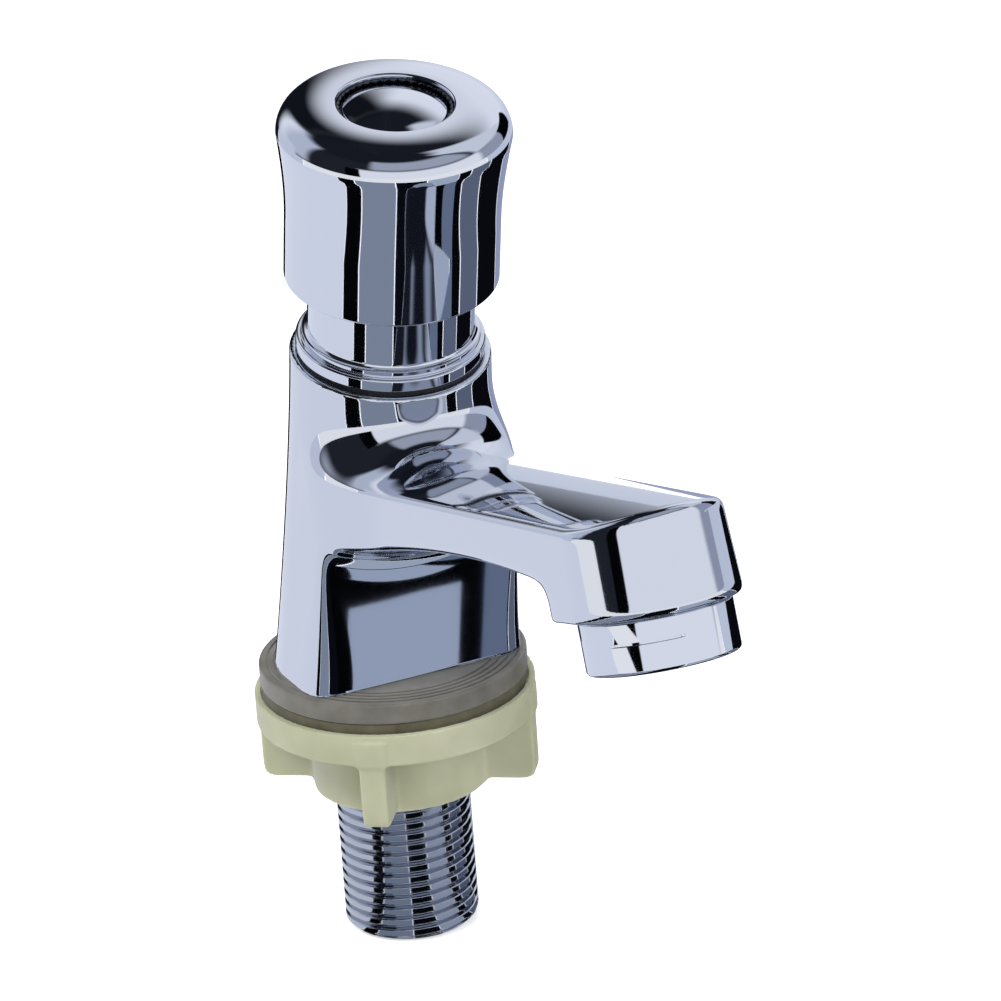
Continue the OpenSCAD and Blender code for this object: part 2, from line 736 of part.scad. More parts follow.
module cap_insert() {
  color(chrome) on_cap_axis() union() {
    translate([0, 0, recess_floor + cap_screw_head_h + touch_gap])
      cylinder(r = ring_inner_r, h = ring_h - cap_screw_head_h - touch_gap + over);
    translate([0, 0, recess_floor + ring_h]) cylinder(r = insert_r, h = dome_edge - recess_floor - ring_h);
    intersection() {
      translate([0, 0, dome_edge + insert_dome - dome_r]) sphere(r = dome_r);
      translate([0, 0, dome_edge - over]) cylinder(r = insert_r, h = insert_dome + 2 * over);
    }
  }
}

module nozzle_housing() {
  collar_top = nozzle_len - touch_gap;
  color(chrome) on_nozzle_axis() difference() {
    rotate_extrude() polygon([[mouth_r, 0], [nozzle_r - 0.6, 0], [nozzle_r, 0.6],
      [nozzle_r, collar_top - 0.3], [nozzle_r - 0.3, collar_top],
      [nozzle_neck_r, collar_top], [nozzle_neck_r, neck_top_s],
      [nozzle_bore_r, neck_top_s], [nozzle_bore_r, mouth_lip], [mouth_r, mouth_lip]]);
    for (a = [0, 180]) rotate([0, 0, slot_angle + a])
      translate([nozzle_r - tool_slot_depth, -tool_slot_len / 2, nozzle_len / 2 + 0.3])
        cube([2, tool_slot_len, tool_slot_h]);
  }
}

module nozzle_seal() {
  color(black_rubber) on_nozzle_axis(neck_top_s)
    tube(nozzle_neck_r, water_chamber_r - 0.4, nozzle_seal_thick);
}

module aerator_cartridge() {
  foot = mouth_lip + screen_thick;
  color(white_plastic) on_nozzle_axis(foot) difference() {
    cylinder(r = nozzle_bore_r - slip, h = aerator_len);
    for (i = [0:5]) rotate([0, 0, i * 60]) translate([aerator_hole_place, 0, -over])
      cylinder(r = 1.6, h = aerator_len + 2 * over, $fn = 24);
    translate([0, 0, -over]) cylinder(r = 2, h = aerator_len + 2 * over, $fn = 24);
  }
}

// Rim and straight crossing bars
module aerator_screen() {
  r = nozzle_bore_r - slip;
  color(steel) on_nozzle_axis(mouth_lip) union() {
    tube(r, mouth_r - 0.6, screen_thick);
    intersection() {
      cylinder(r = r - 0.3, h = screen_thick);
      for (i = [-screen_bars:screen_bars]) {
        translate([i * screen_step - screen_bar_w / 2, -r, 0]) cube([screen_bar_w, 2 * r, screen_thick]);
        translate([-r, i * screen_step - screen_bar_w / 2, 0]) cube([2 * r, screen_bar_w, screen_thick]);
      }
    }
  }
}

tap_body();
inlet_shank();
base_gasket();
clamp_washer();
back_nut();
inlet_filter();
filter_ring();
bonnet();
bonnet_seal();
cartridge_sleeve();
seat_seal();
valve_seat();
spindle();
guide_bush();
spindle_seal();
piston();
piston_seal();
metering_pin();
return_spring();
circlip();
valve_disc();
disc_screw();
push_cap();
cap_guide_ring();
cap_screw();
insert_ring();
cap_insert();
nozzle_housing();
nozzle_seal();
aerator_cartridge();
aerator_screen();
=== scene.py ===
import math
from functools import reduce
from itertools import product

import bmesh
import bpy
import numpy as np
from mathutils import Matrix, Vector


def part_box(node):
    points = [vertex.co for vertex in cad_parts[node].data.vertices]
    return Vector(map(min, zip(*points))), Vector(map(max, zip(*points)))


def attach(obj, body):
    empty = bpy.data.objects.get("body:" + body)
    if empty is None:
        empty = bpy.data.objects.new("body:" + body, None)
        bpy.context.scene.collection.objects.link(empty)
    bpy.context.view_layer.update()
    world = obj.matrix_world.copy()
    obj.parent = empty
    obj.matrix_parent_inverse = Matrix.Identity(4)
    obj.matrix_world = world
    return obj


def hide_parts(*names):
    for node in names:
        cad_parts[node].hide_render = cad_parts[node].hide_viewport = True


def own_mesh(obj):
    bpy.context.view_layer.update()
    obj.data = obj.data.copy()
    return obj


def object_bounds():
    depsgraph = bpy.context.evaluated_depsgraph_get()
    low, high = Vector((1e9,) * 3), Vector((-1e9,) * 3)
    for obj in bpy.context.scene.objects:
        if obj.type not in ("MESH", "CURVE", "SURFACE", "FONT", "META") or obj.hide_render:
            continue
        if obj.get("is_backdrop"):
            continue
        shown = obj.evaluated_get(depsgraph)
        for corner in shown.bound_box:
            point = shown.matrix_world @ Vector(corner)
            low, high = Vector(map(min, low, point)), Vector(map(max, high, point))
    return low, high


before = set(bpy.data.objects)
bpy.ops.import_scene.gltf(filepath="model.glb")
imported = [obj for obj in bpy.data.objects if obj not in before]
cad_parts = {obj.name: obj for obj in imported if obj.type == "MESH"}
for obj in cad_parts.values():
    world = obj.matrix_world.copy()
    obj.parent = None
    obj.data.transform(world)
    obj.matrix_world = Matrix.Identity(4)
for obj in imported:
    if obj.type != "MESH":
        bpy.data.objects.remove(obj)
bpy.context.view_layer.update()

# Sizes are in millimetres until a mesh is made, where this turns them to metres
millimetre = 0.001
perMm = 1 / millimetre

# The axes that pieces are turned about, as in the CAD parts: where each starts, and its lean in degrees
capAxis = {"x": 8.4, "z": 56.1, "tilt": 12.0}
nozzleAxis = {"x": 97.0, "z": 36.4, "tilt": -17.0}
shankAxis = {"x": 0.0, "z": 0.0, "tilt": 0.0}


def turned(axis, points):
    # Points or directions given round an upright axis, leaned over with the real one
    tilt = math.radians(axis["tilt"])
    x, y, up = points[..., 0], points[..., 1], points[..., 2]
    return np.stack([x * math.cos(tilt) + up * math.sin(tilt), y,
                     up * math.cos(tilt) - x * math.sin(tilt)], axis=-1)


def placed(axis, points):
    # Points given round an axis, as points of the whole tap
    return turned(axis, points) + np.array([axis["x"], 0.0, axis["z"]])


def alongAxis(axis, x, z):
    # The opposite way: how far a point is across an axis, and how far up it
    tilt = math.radians(axis["tilt"])
    across = (x - axis["x"]) * math.cos(tilt) - (z - axis["z"]) * math.sin(tilt)
    up = (x - axis["x"]) * math.sin(tilt) + (z - axis["z"]) * math.cos(tilt)
    return across, up


# Materials

toneSpread = (0.3, 0.7)  # where in a pattern's 0 to 1 its two tones are reached


def linear(hexColour):
    # An sRGB hex colour as the linear values that a socket takes
    values = [int(hexColour[i:i + 2], 16) / 255 for i in (1, 3, 5)]
    return [v / 12.92 if v <= 0.04045 else ((v + 0.055) / 1.055) ** 2.4 for v in values] + [1.0]


def addNode(tree, kind, settings=None, links=None, feeds=None):
    # Adds a node and sets its properties or sockets by name. Its inputs are linked from sockets, or
    # from a node's first output, and its outputs feed other sockets
    node = tree.nodes.new(kind)
    for name, value in (settings or {}).items():
        if isinstance(name, str) and hasattr(node, name):
            setattr(node, name, value)
        else:
            node.inputs[name].default_value = value
    for name, source in (links or {}).items():
        tree.links.new(getattr(source, "outputs", [source])[0], node.inputs[name])
    for name, target in (feeds or {}).items():
        tree.links.new(node.outputs[name], target)
    return node


def newMaterial(name, colour, metallic, roughness, more=None):
    # A material with its Principled shader's own sockets set, and its object coordinates
    material = bpy.data.materials.new(name)
    material.use_nodes = True
    tree = material.node_tree
    shader = tree.nodes["Principled BSDF"]
    sockets = {"Base Color": linear(colour), "Metallic": metallic, "Roughness": roughness}
    for socket, value in {**sockets, **(more or {})}.items():
        shader.inputs[socket].default_value = value
    place = addNode(tree, "ShaderNodeTexCoord").outputs["Object"]
    return material, tree, shader, place


def patterned(tree, shader, pattern, tones=None, roughness=None, depthInMm=None):
    # Lets a pattern vary a material between two tones, between two roughnesses, and in height
    if tones:
        ramp = addNode(tree, "ShaderNodeValToRGB", None, {"Fac": pattern},
                       {"Color": shader.inputs["Base Color"]})
        for element, position, tone in zip(ramp.color_ramp.elements, toneSpread, tones):
            element.position, element.color = position, linear(tone)
    if roughness:
        addNode(tree, "ShaderNodeMapRange", {"To Min": roughness[0], "To Max": roughness[1]},
                {"Value": pattern}, {"Result": shader.inputs["Roughness"]})
    if depthInMm:
        addNode(tree, "ShaderNodeBump", {"Strength": 1.0, "Distance": depthInMm * millimetre},
                {"Height": pattern}, {"Normal": shader.inputs["Normal"]})


def chromePlate(name, colour, waveMm, waveDepth, roughest):
    # Bright chrome plate over polished brass: mirror-like, with the polisher's faint waves. Its bluish
    # colour is partly the plate's own slight tint and partly painted light: the cool tint of the soft
    # panels, put into the metal's colour
    material, tree, shader, place = newMaterial(name, colour, 1.0, 0.04)
    haze = addNode(tree, "ShaderNodeTexNoise", {"Scale": perMm / 9.0, "Detail": 4.0}, {"Vector": place})
    patterned(tree, shader, haze, roughness=(0.025, roughest))
    wave = addNode(tree, "ShaderNodeTexNoise", {"Scale": perMm / waveMm, "Detail": 1.0}, {"Vector": place})
    patterned(tree, shader, wave, depthInMm=waveDepth)
    return material


def ivoryNylon():
    # Moulded nylon of the wing nut: ivory, slightly waxy, with light passing into it
    material, tree, shader, place = newMaterial("ivoryNylon", "#c1c3a5", 0.0, 0.38, {
        "IOR": 1.53, "Subsurface Weight": 0.25, "Subsurface Scale": 0.003,
        "Subsurface Radius": (1.0, 0.9, 0.5)})
    cloud = addNode(tree, "ShaderNodeTexNoise", {"Scale": perMm / 14.0, "Detail": 3.0}, {"Vector": place})
    patterned(tree, shader, cloud, tones=("#b6b898", "#cbccb0"))
    # The mould's grain is finer than half a millimetre, and is drawn as coarse as it needs to show
    grain = addNode(tree, "ShaderNodeTexNoise", {"Scale": perMm / 0.5, "Detail": 2.0}, {"Vector": place})
    patterned(tree, shader, grain, roughness=(0.3, 0.46), depthInMm=0.02)
    return material


def greyPvc():
    # Moulded soft PVC of the base gasket: taupe grey with a satin face
    material, tree, shader, place = newMaterial("greyPvc", "#8b867f", 0.0, 0.33, {"IOR": 1.5})
    cloud = addNode(tree, "ShaderNodeTexNoise", {"Scale": perMm / 5.0, "Detail": 4.0}, {"Vector": place})
    patterned(tree, shader, cloud, tones=("#6a675f", "#827f77"))
    # Its moulded grain is drawn coarser than the real one too
    grain = addNode(tree, "ShaderNodeTexNoise", {"Scale": perMm / 0.6, "Detail": 3.0}, {"Vector": place})
    patterned(tree, shader, grain, roughness=(0.26, 0.42), depthInMm=0.015)
    return material


def brownRubber():
    # Cut rubber sheet of the clamp washer: olive brown, matt, with a few dark specks of filler
    material, tree, shader, place = newMaterial("brownRubber", "#7a755f", 0.0, 0.62, {"IOR": 1.5})
    cloud = addNode(tree, "ShaderNodeTexNoise", {"Scale": perMm / 3.0, "Detail": 5.0}, {"Vector": place})
    patterned(tree, shader, cloud, tones=("#5a5642", "#6f6b56"))
    clouded = shader.inputs["Base Color"].links[0].from_socket
    speck = addNode(tree, "ShaderNodeTexVoronoi", {"Scale": perMm / 6.0}, {"Vector": place})
    spot = addNode(tree, "ShaderNodeMapRange", {"From Min": 0.03, "From Max": 0.08}, {"Value": speck})
    addNode(tree, "ShaderNodeMix", {"data_type": "RGBA", 6: linear("#1d1c18")}, {0: spot, 7: clouded},
            {2: shader.inputs["Base Color"]})
    grain = addNode(tree, "ShaderNodeTexNoise", {"Scale": perMm / 0.4, "Detail": 3.0}, {"Vector": place})
    patterned(tree, shader, grain, depthInMm=0.02)
    return material


def plainFinish(name, tones, metallic, roughness, grainMm, more=None):
    # Brass, steel, rubber or acetal of the parts held inside, with its turned, cut or moulded grain
    # drawn as coarse as it needs to show
    material, tree, shader, place = newMaterial(name, tones[0], metallic, roughness, more)
    grain = addNode(tree, "ShaderNodeTexNoise", {"Scale": perMm / grainMm, "Detail": 4.0},
                    {"Vector": place})
    patterned(tree, shader, grain, tones, (roughness * 0.8, roughness * 1.25), 0.01)
    return material


def makeMaterials():
    return {
        # Each chrome colour below holds painted light, a cool blue tint of the soft panels, on top of the
        # plate's own slight blue
        "bodyChrome": chromePlate("chromePlatedCasting", "#d6dae4", 16.0, 0.012, 0.06),
        "turnedChrome": chromePlate("chromePlatedTurning", "#dadee8", 30.0, 0.004, 0.05),
        "threadChrome": chromePlate("chromePlatedThread", "#b9bec9", 5.0, 0.004, 0.16),
        "ivoryNylon": ivoryNylon(),
        "greyPvc": greyPvc(),
        "brownRubber": brownRubber(),
        "blackRubber": plainFinish("nitrileRubber", ("#1c1c1e", "#2a2a2c"), 0.0, 0.5, 0.6, {"IOR": 1.52}),
        "brass": plainFinish("turnedBrass", ("#c9a658", "#b8944a"), 1.0, 0.24, 0.8),
        "steel": plainFinish("stainlessSteel", ("#a9acb0", "#bdbfc3"), 1.0, 0.26, 0.8),
        "darkSteel": plainFinish("blackenedSteel", ("#5c6067", "#3c3f45"), 1.0, 0.22, 0.6),
        "acetal": plainFinish("mouldedAcetal", ("#e8e6df", "#dedbd2"), 0.0, 0.36, 0.8, {"IOR": 1.48}),
    }


print("materials")
finish = makeMaterials()


# Mesh helpers

# Each piece that is modelled here: its finish, the body that carries it, its slot and its CAD node
pieces = {
    "body": ("bodyChrome", "tap", "chrome_body", "tap_body"),
    "cap": ("turnedChrome", "press_unit", "chrome_cap", "push_cap"),
    "capInsert": ("turnedChrome", "press_unit", "chrome_cap", "cap_insert"),
    "insertRing": ("darkSteel", "press_unit", "dark_steel", "insert_ring"),
    "bonnetCollar": ("turnedChrome", "tap", "chrome_trim", "bonnet"),
    "nozzle": ("turnedChrome", "tap", "chrome_trim", "nozzle_housing"),
    "shank": ("threadChrome", "tap", "chrome_thread", "inlet_shank"),
    "gasket": ("greyPvc", "tap", "grey_gasket", "base_gasket"),
    "clampWasher": ("brownRubber", "washer_carrier", "brown_washer", "clamp_washer"),
    "wingNut": ("ivoryNylon", "nut", "ivory_plastic", "back_nut"),
    "returnSpring": ("steel", "tap", "steel", "return_spring"),
}


def makePiece(name, points, faces, normals):
    # A smooth mesh with its own normals, which rides on its body and stands for its CAD node
    finishName, body, slot, node = pieces[name]
    mesh = bpy.data.meshes.new(name)
    mesh.from_pydata((points.reshape(-1, 3) * millimetre).tolist(), [], faces.tolist())
    mesh.validate()
    mesh.shade_smooth()
    mesh.normals_split_custom_set_from_vertices(normals.reshape(-1, 3).tolist())
    mesh.materials.append(finish[finishName])
    piece = bpy.data.objects.new(name, mesh)
    bpy.context.scene.collection.objects.link(piece)
    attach(piece, body)
    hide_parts(node)
    return piece


def between(first, last, share):
    return first + (last - first) * share


def roundAngles(columns):
    # Angles spaced evenly round a circle
    return np.arange(columns) * 2 * math.pi / columns


def rounded(corners, stepDegrees=9.0):
    # A closed outline of (radius, height, fillet) corners, with each fillet drawn as an arc
    flat = np.array([c[:2] for c in corners], float)
    fillets = [c[2] if len(c) > 2 else 0.0 for c in corners]
    outline = []
    for i, point in enumerate(flat):
        before, after = flat[i - 1] - point, flat[(i + 1) % len(flat)] - point
        lengthBefore, lengthAfter = np.linalg.norm(before), np.linalg.norm(after)
        before, after = before / lengthBefore, after / lengthAfter
        turn = math.pi - math.acos(max(-1.0, min(1.0, float(before @ after))))
        if fillets[i] == 0 or turn < 0.02:  # sharp, or all but straight
            outline.append(point)
            continue
        # An arc takes up less than half of the side that it has on each hand
        reach = min(fillets[i] * math.tan(turn / 2), 0.49 * lengthBefore, 0.49 * lengthAfter)
        radius = reach / math.tan(turn / 2)
        middle = (before + after) / np.linalg.norm(before + after)
        centre = point + middle * radius / math.cos(turn / 2)
        steps = max(3, math.ceil(math.degrees(turn) / stepDegrees))
        start, end = point + before * reach - centre, point + after * reach - centre
        for j in range(steps + 1):
            share = j / steps
            arm = start * math.sin((1 - share) * turn) + end * math.sin(share * turn)
            outline.append(centre + arm / math.sin(turn))
    return np.array(outline)


def gridFaces(rows, columns, closed):
    # The quads of a grid whose columns go all the way round, and whose rows do too where it is closed
    row, column = np.meshgrid(np.arange(rows if closed else rows - 1), np.arange(columns), indexing="ij")
    nextRow, nextColumn = (row + 1) % rows, (column + 1) % columns
    return np.stack([row * columns + column, row * columns + nextColumn,
                     nextRow * columns + nextColumn, nextRow * columns + column], axis=-1).reshape(-1, 4)


def ringNormals(points):
    # Normals of a grid of rings: the longer neighbouring edge counts more, so that flats stay flat
    ahead = np.roll(points, -1, axis=0) - points
    behind = points - np.roll(points, 1, axis=0)
    weightAhead = (ahead ** 2).sum(-1, keepdims=True) + 1e-12
    weightBehind = (behind ** 2).sum(-1, keepdims=True) + 1e-12
    along = ahead * np.sqrt(weightAhead) + behind * np.sqrt(weightBehind)
    around = np.roll(points, -1, axis=1) - np.roll(points, 1, axis=1)
    normal = np.cross(around, along)
    return normal / np.maximum(np.linalg.norm(normal, axis=-1, keepdims=True), 1e-12)


def ringSolid(name, radii, heights, axis):
    # A closed solid of rings round an axis: a row of radii for each height, one for each column
    rows, columns = radii.shape
    angle = roundAngles(columns)
    heights = np.repeat(np.asarray(heights, float)[:, None], columns, axis=1)
    grid = placed(axis, np.stack([radii * np.cos(angle), radii * np.sin(angle), heights], axis=-1))
    return makePiece(name, grid, gridFaces(rows, columns, True), ringNormals(grid))


def lathe(name, corners, axis, columns=144):
    outline = rounded(corners)
    return ringSolid(name, np.repeat(outline[:, :1], columns, axis=1), outline[:, 1], axis)


# Fields: a shape is where its field is below zero, and the field is about the distance to its surface

skinSetup = {
    "room": 2.0, "probe": 0.01, "leastSlope": 0.05, "reach": 0.5, "firstMoves": 8, "rounds": 3, "moves": 2,
}


def smoothMax(a, b, reach):
    # The larger of two fields, rounded over where they are closer than reach
    share = np.maximum(reach - np.abs(a - b), 0) / reach
    return np.maximum(a, b) + share ** 3 * reach / 6


def smoothMin(a, b, reach):
    return -smoothMax(-a, -b, reach)


def ease(value, start, end):
    # 0 up to start, 1 from end, with a smooth change between
    share = np.clip((value - start) / (end - start), 0, 1)
    return share * share * (3 - 2 * share)


def fieldSlope(field, points):
    # Which way a field grows, from small steps along X, Y and Z
    step = skinSetup["probe"]
    parts = []
    for i in range(3):
        side = np.zeros(3)
        side[i] = step
        parts.append((field(*(points + side).T) - field(*(points - side).T)) / (2 * step))
    return np.stack(parts, axis=-1)


def drawnOnto(field, points, times, limit):
    # Points moved along the field's slope to where it is zero, by no more than limit each time
    for _ in range(times):
        slope = fieldSlope(field, points)
        steepness = np.maximum((slope ** 2).sum(-1, keepdims=True), skinSetup["leastSlope"])
        move = field(*points.T)[:, None] * slope / steepness
        length = np.linalg.norm(move, axis=-1, keepdims=True)
        points = points - move * np.minimum(1, limit / np.maximum(length, 1e-9))
    return points


def relaxed(points, faces):
    # Each point half way to the middle of its neighbours, which evens the mesh out
    ends = faces.ravel()
    beside = np.roll(faces, 1, axis=1).ravel(), np.roll(faces, -1, axis=1).ravel()
    count = 2 * np.bincount(ends, minlength=len(points))
    total = np.stack([np.bincount(ends, points[beside[0], i] + points[beside[1], i], len(points))
                      for i in range(3)], axis=-1)
    return 0.5 * points + 0.5 * total / count[:, None]


def skinOfField(field, low, high, step):
    # The surface where a field is zero, as one vertex in each cell that it crosses, drawn onto it
    axes = [np.arange(low[i], high[i] + step, step) for i in range(3)]
    inside = field(*np.meshgrid(*axes, indexing="ij", sparse=True)) < 0
    size = np.array(inside.shape)
    corners = sum(inside[i:size[0] - 1 + i, j:size[1] - 1 + j, k:size[2] - 1 + k].astype(np.int8)
                  for i, j, k in product((0, 1), repeat=3))
    crossed = (corners > 0) & (corners < 8)
    index = np.full(crossed.shape, -1)
    index[crossed] = np.arange(crossed.sum())
    points = (np.argwhere(crossed) + 0.5) * step + np.array([a[0] for a in axes])
    faces = []
    for turn in ((0, 1, 2), (1, 2, 0), (2, 0, 1)):
        # A quad round each edge along this axis that goes from inside to outside, or back
        first = np.moveaxis(inside, turn, (0, 1, 2))
        cells = np.moveaxis(index, turn, (0, 1, 2))
        start, end = first[:-1, 1:-1, 1:-1], first[1:, 1:-1, 1:-1]
        around = np.stack([cells[:, :-1, :-1], cells[:, 1:, :-1],
                           cells[:, 1:, 1:], cells[:, :-1, 1:]], axis=-1)
        leaving, entering = start & ~end, end & ~start
        faces += [around[leaving], around[entering][:, ::-1]]
    faces = np.concatenate(faces)
    limit = skinSetup["reach"] * step
    points = drawnOnto(field, points, skinSetup["firstMoves"], limit)
    for _ in range(skinSetup["rounds"]):
        points = drawnOnto(field, relaxed(points, faces), skinSetup["moves"], limit)
    slope = fieldSlope(field, points)
    return points, faces, slope / np.linalg.norm(slope, axis=-1, keepdims=True)


def fieldPiece(name, field, sizes):
    # A piece drawn from its field, in the box of its CAD node with a little room round it
    low, high = [np.array(corner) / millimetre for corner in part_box(pieces[name][3])]
    step = sizes["meshStep"]
    room = skinSetup["room"]
    return makePiece(name, *skinOfField(field, low - room, high + room, step))


# Body: a leaning column, flat at the front, that grows into the rising spout

bodySize = {
    # The column, from its foot on the gasket to its rim, with its two half rounds set apart
    "footZ": 3.3, "footRadius": 18.2, "rimRadius": 15.2, "flarePower": 1.5, "rimRound": 0.8,
    "footRound": 0.5, "straight": 8.0, "straightEnd": 6.0,
    # The flat front, its lean in degrees, and how its corners soften from the foot to the waist
    "frontX": 11.3, "frontTop": 27.0, "frontLean": 7.5, "cornerFoot": 7.0, "cornerWaist": 2.2,
    # The spout's top, which rises at an angle, and its sides
    "spoutStart": -4.0, "startRound": 4.0, "spoutHalfWidth": 12.0, "sideDraft": 0.05, "draftDepth": 20.0,
    "topZ": 34.9, "topRise": 13.3, "crown": 2.2, "topRound": 1.8, "rootRound": 6.0,
    "rootRun": (4.0, 28.0),
    # The fillet of column and spout: its reach, and where along, across and up it changes
    "fillet": 15.0, "filletSides": 6.5, "filletRun": (2.0, 14.0), "filletWidths": (4.0, 13.0),
    "filletHeights": (-8.0, 7.0), "filletBack": 0.15, "filletFade": (-2.0, 8.0),
    # The spout's underside, and the round end that takes the nozzle
    "underZ": 26.0, "underSlope": 0.4175, "underBend": 0.0019, "underRun": (-20.0, 75.0),
    "underScale": 0.92, "underRound": 5.0, "belly": 2.0, "endRadius": 12.8, "endFoot": 7.7,
    "endDepth": 3.0, "endNarrow": 0.8, "endRound": 1.2,
    "meshStep": 0.45, "quickStep": 0.9,
}

# Each bore's radius, start and end along its own line, as in the CAD part
boreSize = {
    "cartridge": (11.0, -27.3, 5.0), "chamber": (8.6, -41.9, -27.2), "spigot": (8.65, 2.0, 10.3),
    "inlet": (6.5, 2.0, 17.3), "neck": (10.05, 2.0, 15.1), "pocket": (7.0, 15.0, 18.4),
    "waterway": (3.1, 8.6, 91.8), "waterwayDrop": 3.3, "edgeRound": 0.3,
}


def columnField(x, y, z):
    size = bodySize
    share = (z - size["footZ"]) / (capAxis["z"] - size["footZ"])
    rest = np.clip(1 - share, 0, 1)
    radius = between(size["rimRadius"], size["footRadius"], rest ** size["flarePower"])
    squeeze = 1 - (1 - math.cos(math.radians(capAxis["tilt"]))) * share
    straight = size["straight"] * (1 - ease(z, size["frontTop"], capAxis["z"] - size["straightEnd"]))
    forward = (x - capAxis["x"] * share) * squeeze
    forward = forward - np.clip(forward, 0, straight)
    side = np.hypot(forward, y) - radius
    overRim = alongAxis(capAxis, x, z)[1]
    return smoothMax(side, overRim, size["rimRound"])


def spoutTop(x):
    return bodySize["topZ"] + math.tan(math.radians(bodySize["topRise"])) * x


def bulge(height, y):
    # How far a face that is crowned by this height stands out, from its middle to its edges
    return height * (1 - (y / bodySize["spoutHalfWidth"]) ** 2)


def spoutField(x, y, z):
    size = bodySize
    past = alongAxis(nozzleAxis, x, z)[0]
    top = spoutTop(x)
    width = size["spoutHalfWidth"] + size["sideDraft"] * np.clip(top - z, 0, size["draftDepth"])
    side = np.hypot(np.maximum(past, 0), y) - width
    over = (z - top - bulge(size["crown"], y)) * math.cos(math.radians(size["topRise"]))
    edge = between(size["rootRound"], size["topRound"], ease(x, *size["rootRun"]))
    return smoothMax(smoothMax(side, over, edge), size["spoutStart"] - x, size["startRound"])


def underField(x, y, z):
    # Below zero behind the flat front, over the spout's underside and inside the round end
    size = bodySize
    front = x - size["frontX"] - math.tan(math.radians(size["frontLean"])) * (z - size["footZ"])
    run = np.clip(x - size["frontX"], *size["underRun"])
    under = size["underZ"] + size["underSlope"] * run - size["underBend"] * run * run
    past, up = alongAxis(nozzleAxis, x, z)
    below = np.maximum((under - bulge(size["belly"], y) - z) * size["underScale"],
                       size["endFoot"] + size["endDepth"] - up)
    roundEnd = np.hypot(np.minimum(past, 0), size["endNarrow"] * y) - size["endRadius"]
    roundEnd = smoothMax(roundEnd, size["endFoot"] - up, size["endRound"])
    return smoothMin(smoothMin(front, below, size["underRound"]), roundEnd, size["underRound"])


def boreField(x, y, z):
    across, up = alongAxis(capAxis, x, z)
    past, nozzleUp = alongAxis(nozzleAxis, x, z)
    rise = math.radians(bodySize["topRise"])
    low = z - bodySize["topZ"] + boreSize["waterwayDrop"]
    waterOut = x * math.cos(rise) + low * math.sin(rise)
    waterAcross = low * math.cos(rise) - x * math.sin(rise)
    lines = (("cartridge", across, up), ("chamber", across, up), ("spigot", x, z), ("inlet", x, z),
             ("neck", past, nozzleUp), ("pocket", past, nozzleUp), ("waterway", waterAcross, waterOut))
    bores = ((*boreSize[name], np.hypot(side, y), along) for name, side, along in lines)
    return reduce(np.minimum, (np.maximum(away - radius, np.maximum(start - along, along - end))
                               for radius, start, end, away, along in bores))


def bodyField(x, y, z):
    size = bodySize
    above = ease(z - spoutTop(x), *size["filletHeights"])
    beside = ease(np.abs(y), *size["filletWidths"]) * (1 - above)
    middle = ease(x, *size["filletRun"]) * (1 - beside)
    reach = between(size["filletSides"], size["fillet"], middle)
    # Hardly any behind, where the spout ends inside the column
    reach = reach * between(size["filletBack"], 1, ease(x, *size["filletFade"]))
    outer = smoothMin(columnField(x, y, z), spoutField(x, y, z), reach)
    corner = between(size["cornerFoot"], size["cornerWaist"], ease(z, size["footZ"], size["frontTop"]))
    outer = smoothMax(outer, underField(x, y, z), corner)
    outer = smoothMax(outer, size["footZ"] - z, size["footRound"])
    return smoothMax(outer, -boreField(x, y, z), boreSize["edgeRound"])


print("body")
fieldPiece("body", bodyField, bodySize)


# Push cap: a lathed shell, straight below and flared above, with a rolled crown

capSize = {
    "foot": 12.9, "radius": 16.15, "headRadius": 17.5, "sideTop": 10.0, "headTop": 24.0, "lipTop": 28.8,
    "shoulder": 4.0, "shoulderHeight": 4.3, "shoulderTurn": 70.0, "crownBend": 0.34, "crownLift": 0.08,
    "recess": 8.65, "recessDepth": 4.2, "lipRound": 0.4, "hollow": 13.6, "hollowTop": 21.3,
    "bossFoot": 32.5, "bossRadius": 5.6, "screwHole": 2.1,
    "flareSteps": 24, "shoulderSteps": 17, "crownSteps": 13, "columns": 192,
}
recessFloor = capSize["foot"] + capSize["lipTop"] - capSize["recessDepth"]


def makeCap():
    size = capSize
    foot, lip = size["foot"], size["foot"] + size["lipTop"]
    side, head, hollowTop = foot + size["sideTop"], foot + size["headTop"], foot + size["hollowTop"]
    flare = [(between(size["radius"], size["headRadius"], 1 - math.cos(math.pi / 2 * t)),
              between(side, head, t)) for t in np.linspace(0, 1, size["flareSteps"] + 1)]
    inner = size["headRadius"] - size["shoulder"]
    turns = np.linspace(0, math.radians(size["shoulderTurn"]), size["shoulderSteps"] + 1)
    shoulder = [(inner + size["shoulder"] * math.cos(a), head + size["shoulderHeight"] * math.sin(a))
                for a in turns[1:]]
    # The crown is one curve from the end of the shoulder to the lip of the recess
    start, end = np.array(shoulder[-1]), np.array([size["recess"] + size["lipRound"], lip])
    bend = np.array([between(start[0], size["recess"], size["crownBend"]), lip + size["crownLift"]])
    crown = [tuple((1 - t) ** 2 * start + 2 * t * (1 - t) * bend + t * t * end)
             for t in np.linspace(0, 1, size["crownSteps"] + 1)[1:-1]]
    corners = [(size["screwHole"], size["bossFoot"], 0.2), (size["bossRadius"], size["bossFoot"], 0.3),
               (size["bossRadius"], hollowTop, 0.4), (size["hollow"], hollowTop, 0.4),
               (size["hollow"], foot, 0.15), (size["radius"], foot, 0.45)]
    corners += flare + shoulder + crown
    corners += [(size["recess"], lip, size["lipRound"]), (size["recess"], recessFloor, 0.2),
                (size["screwHole"], recessFloor, 0.2)]
    lathe("cap", corners, capAxis, size["columns"])


insertSize = {
    "radius": 7.8, "stem": 6.8, "edge": 3.0, "edgeRound": 0.4, "dome": 1.6, "foot": 1.5, "stemTop": 2.3,
    "footHole": 0.004, "domeSteps": 29, "poleAngles": (0.003, 0.0005),
}


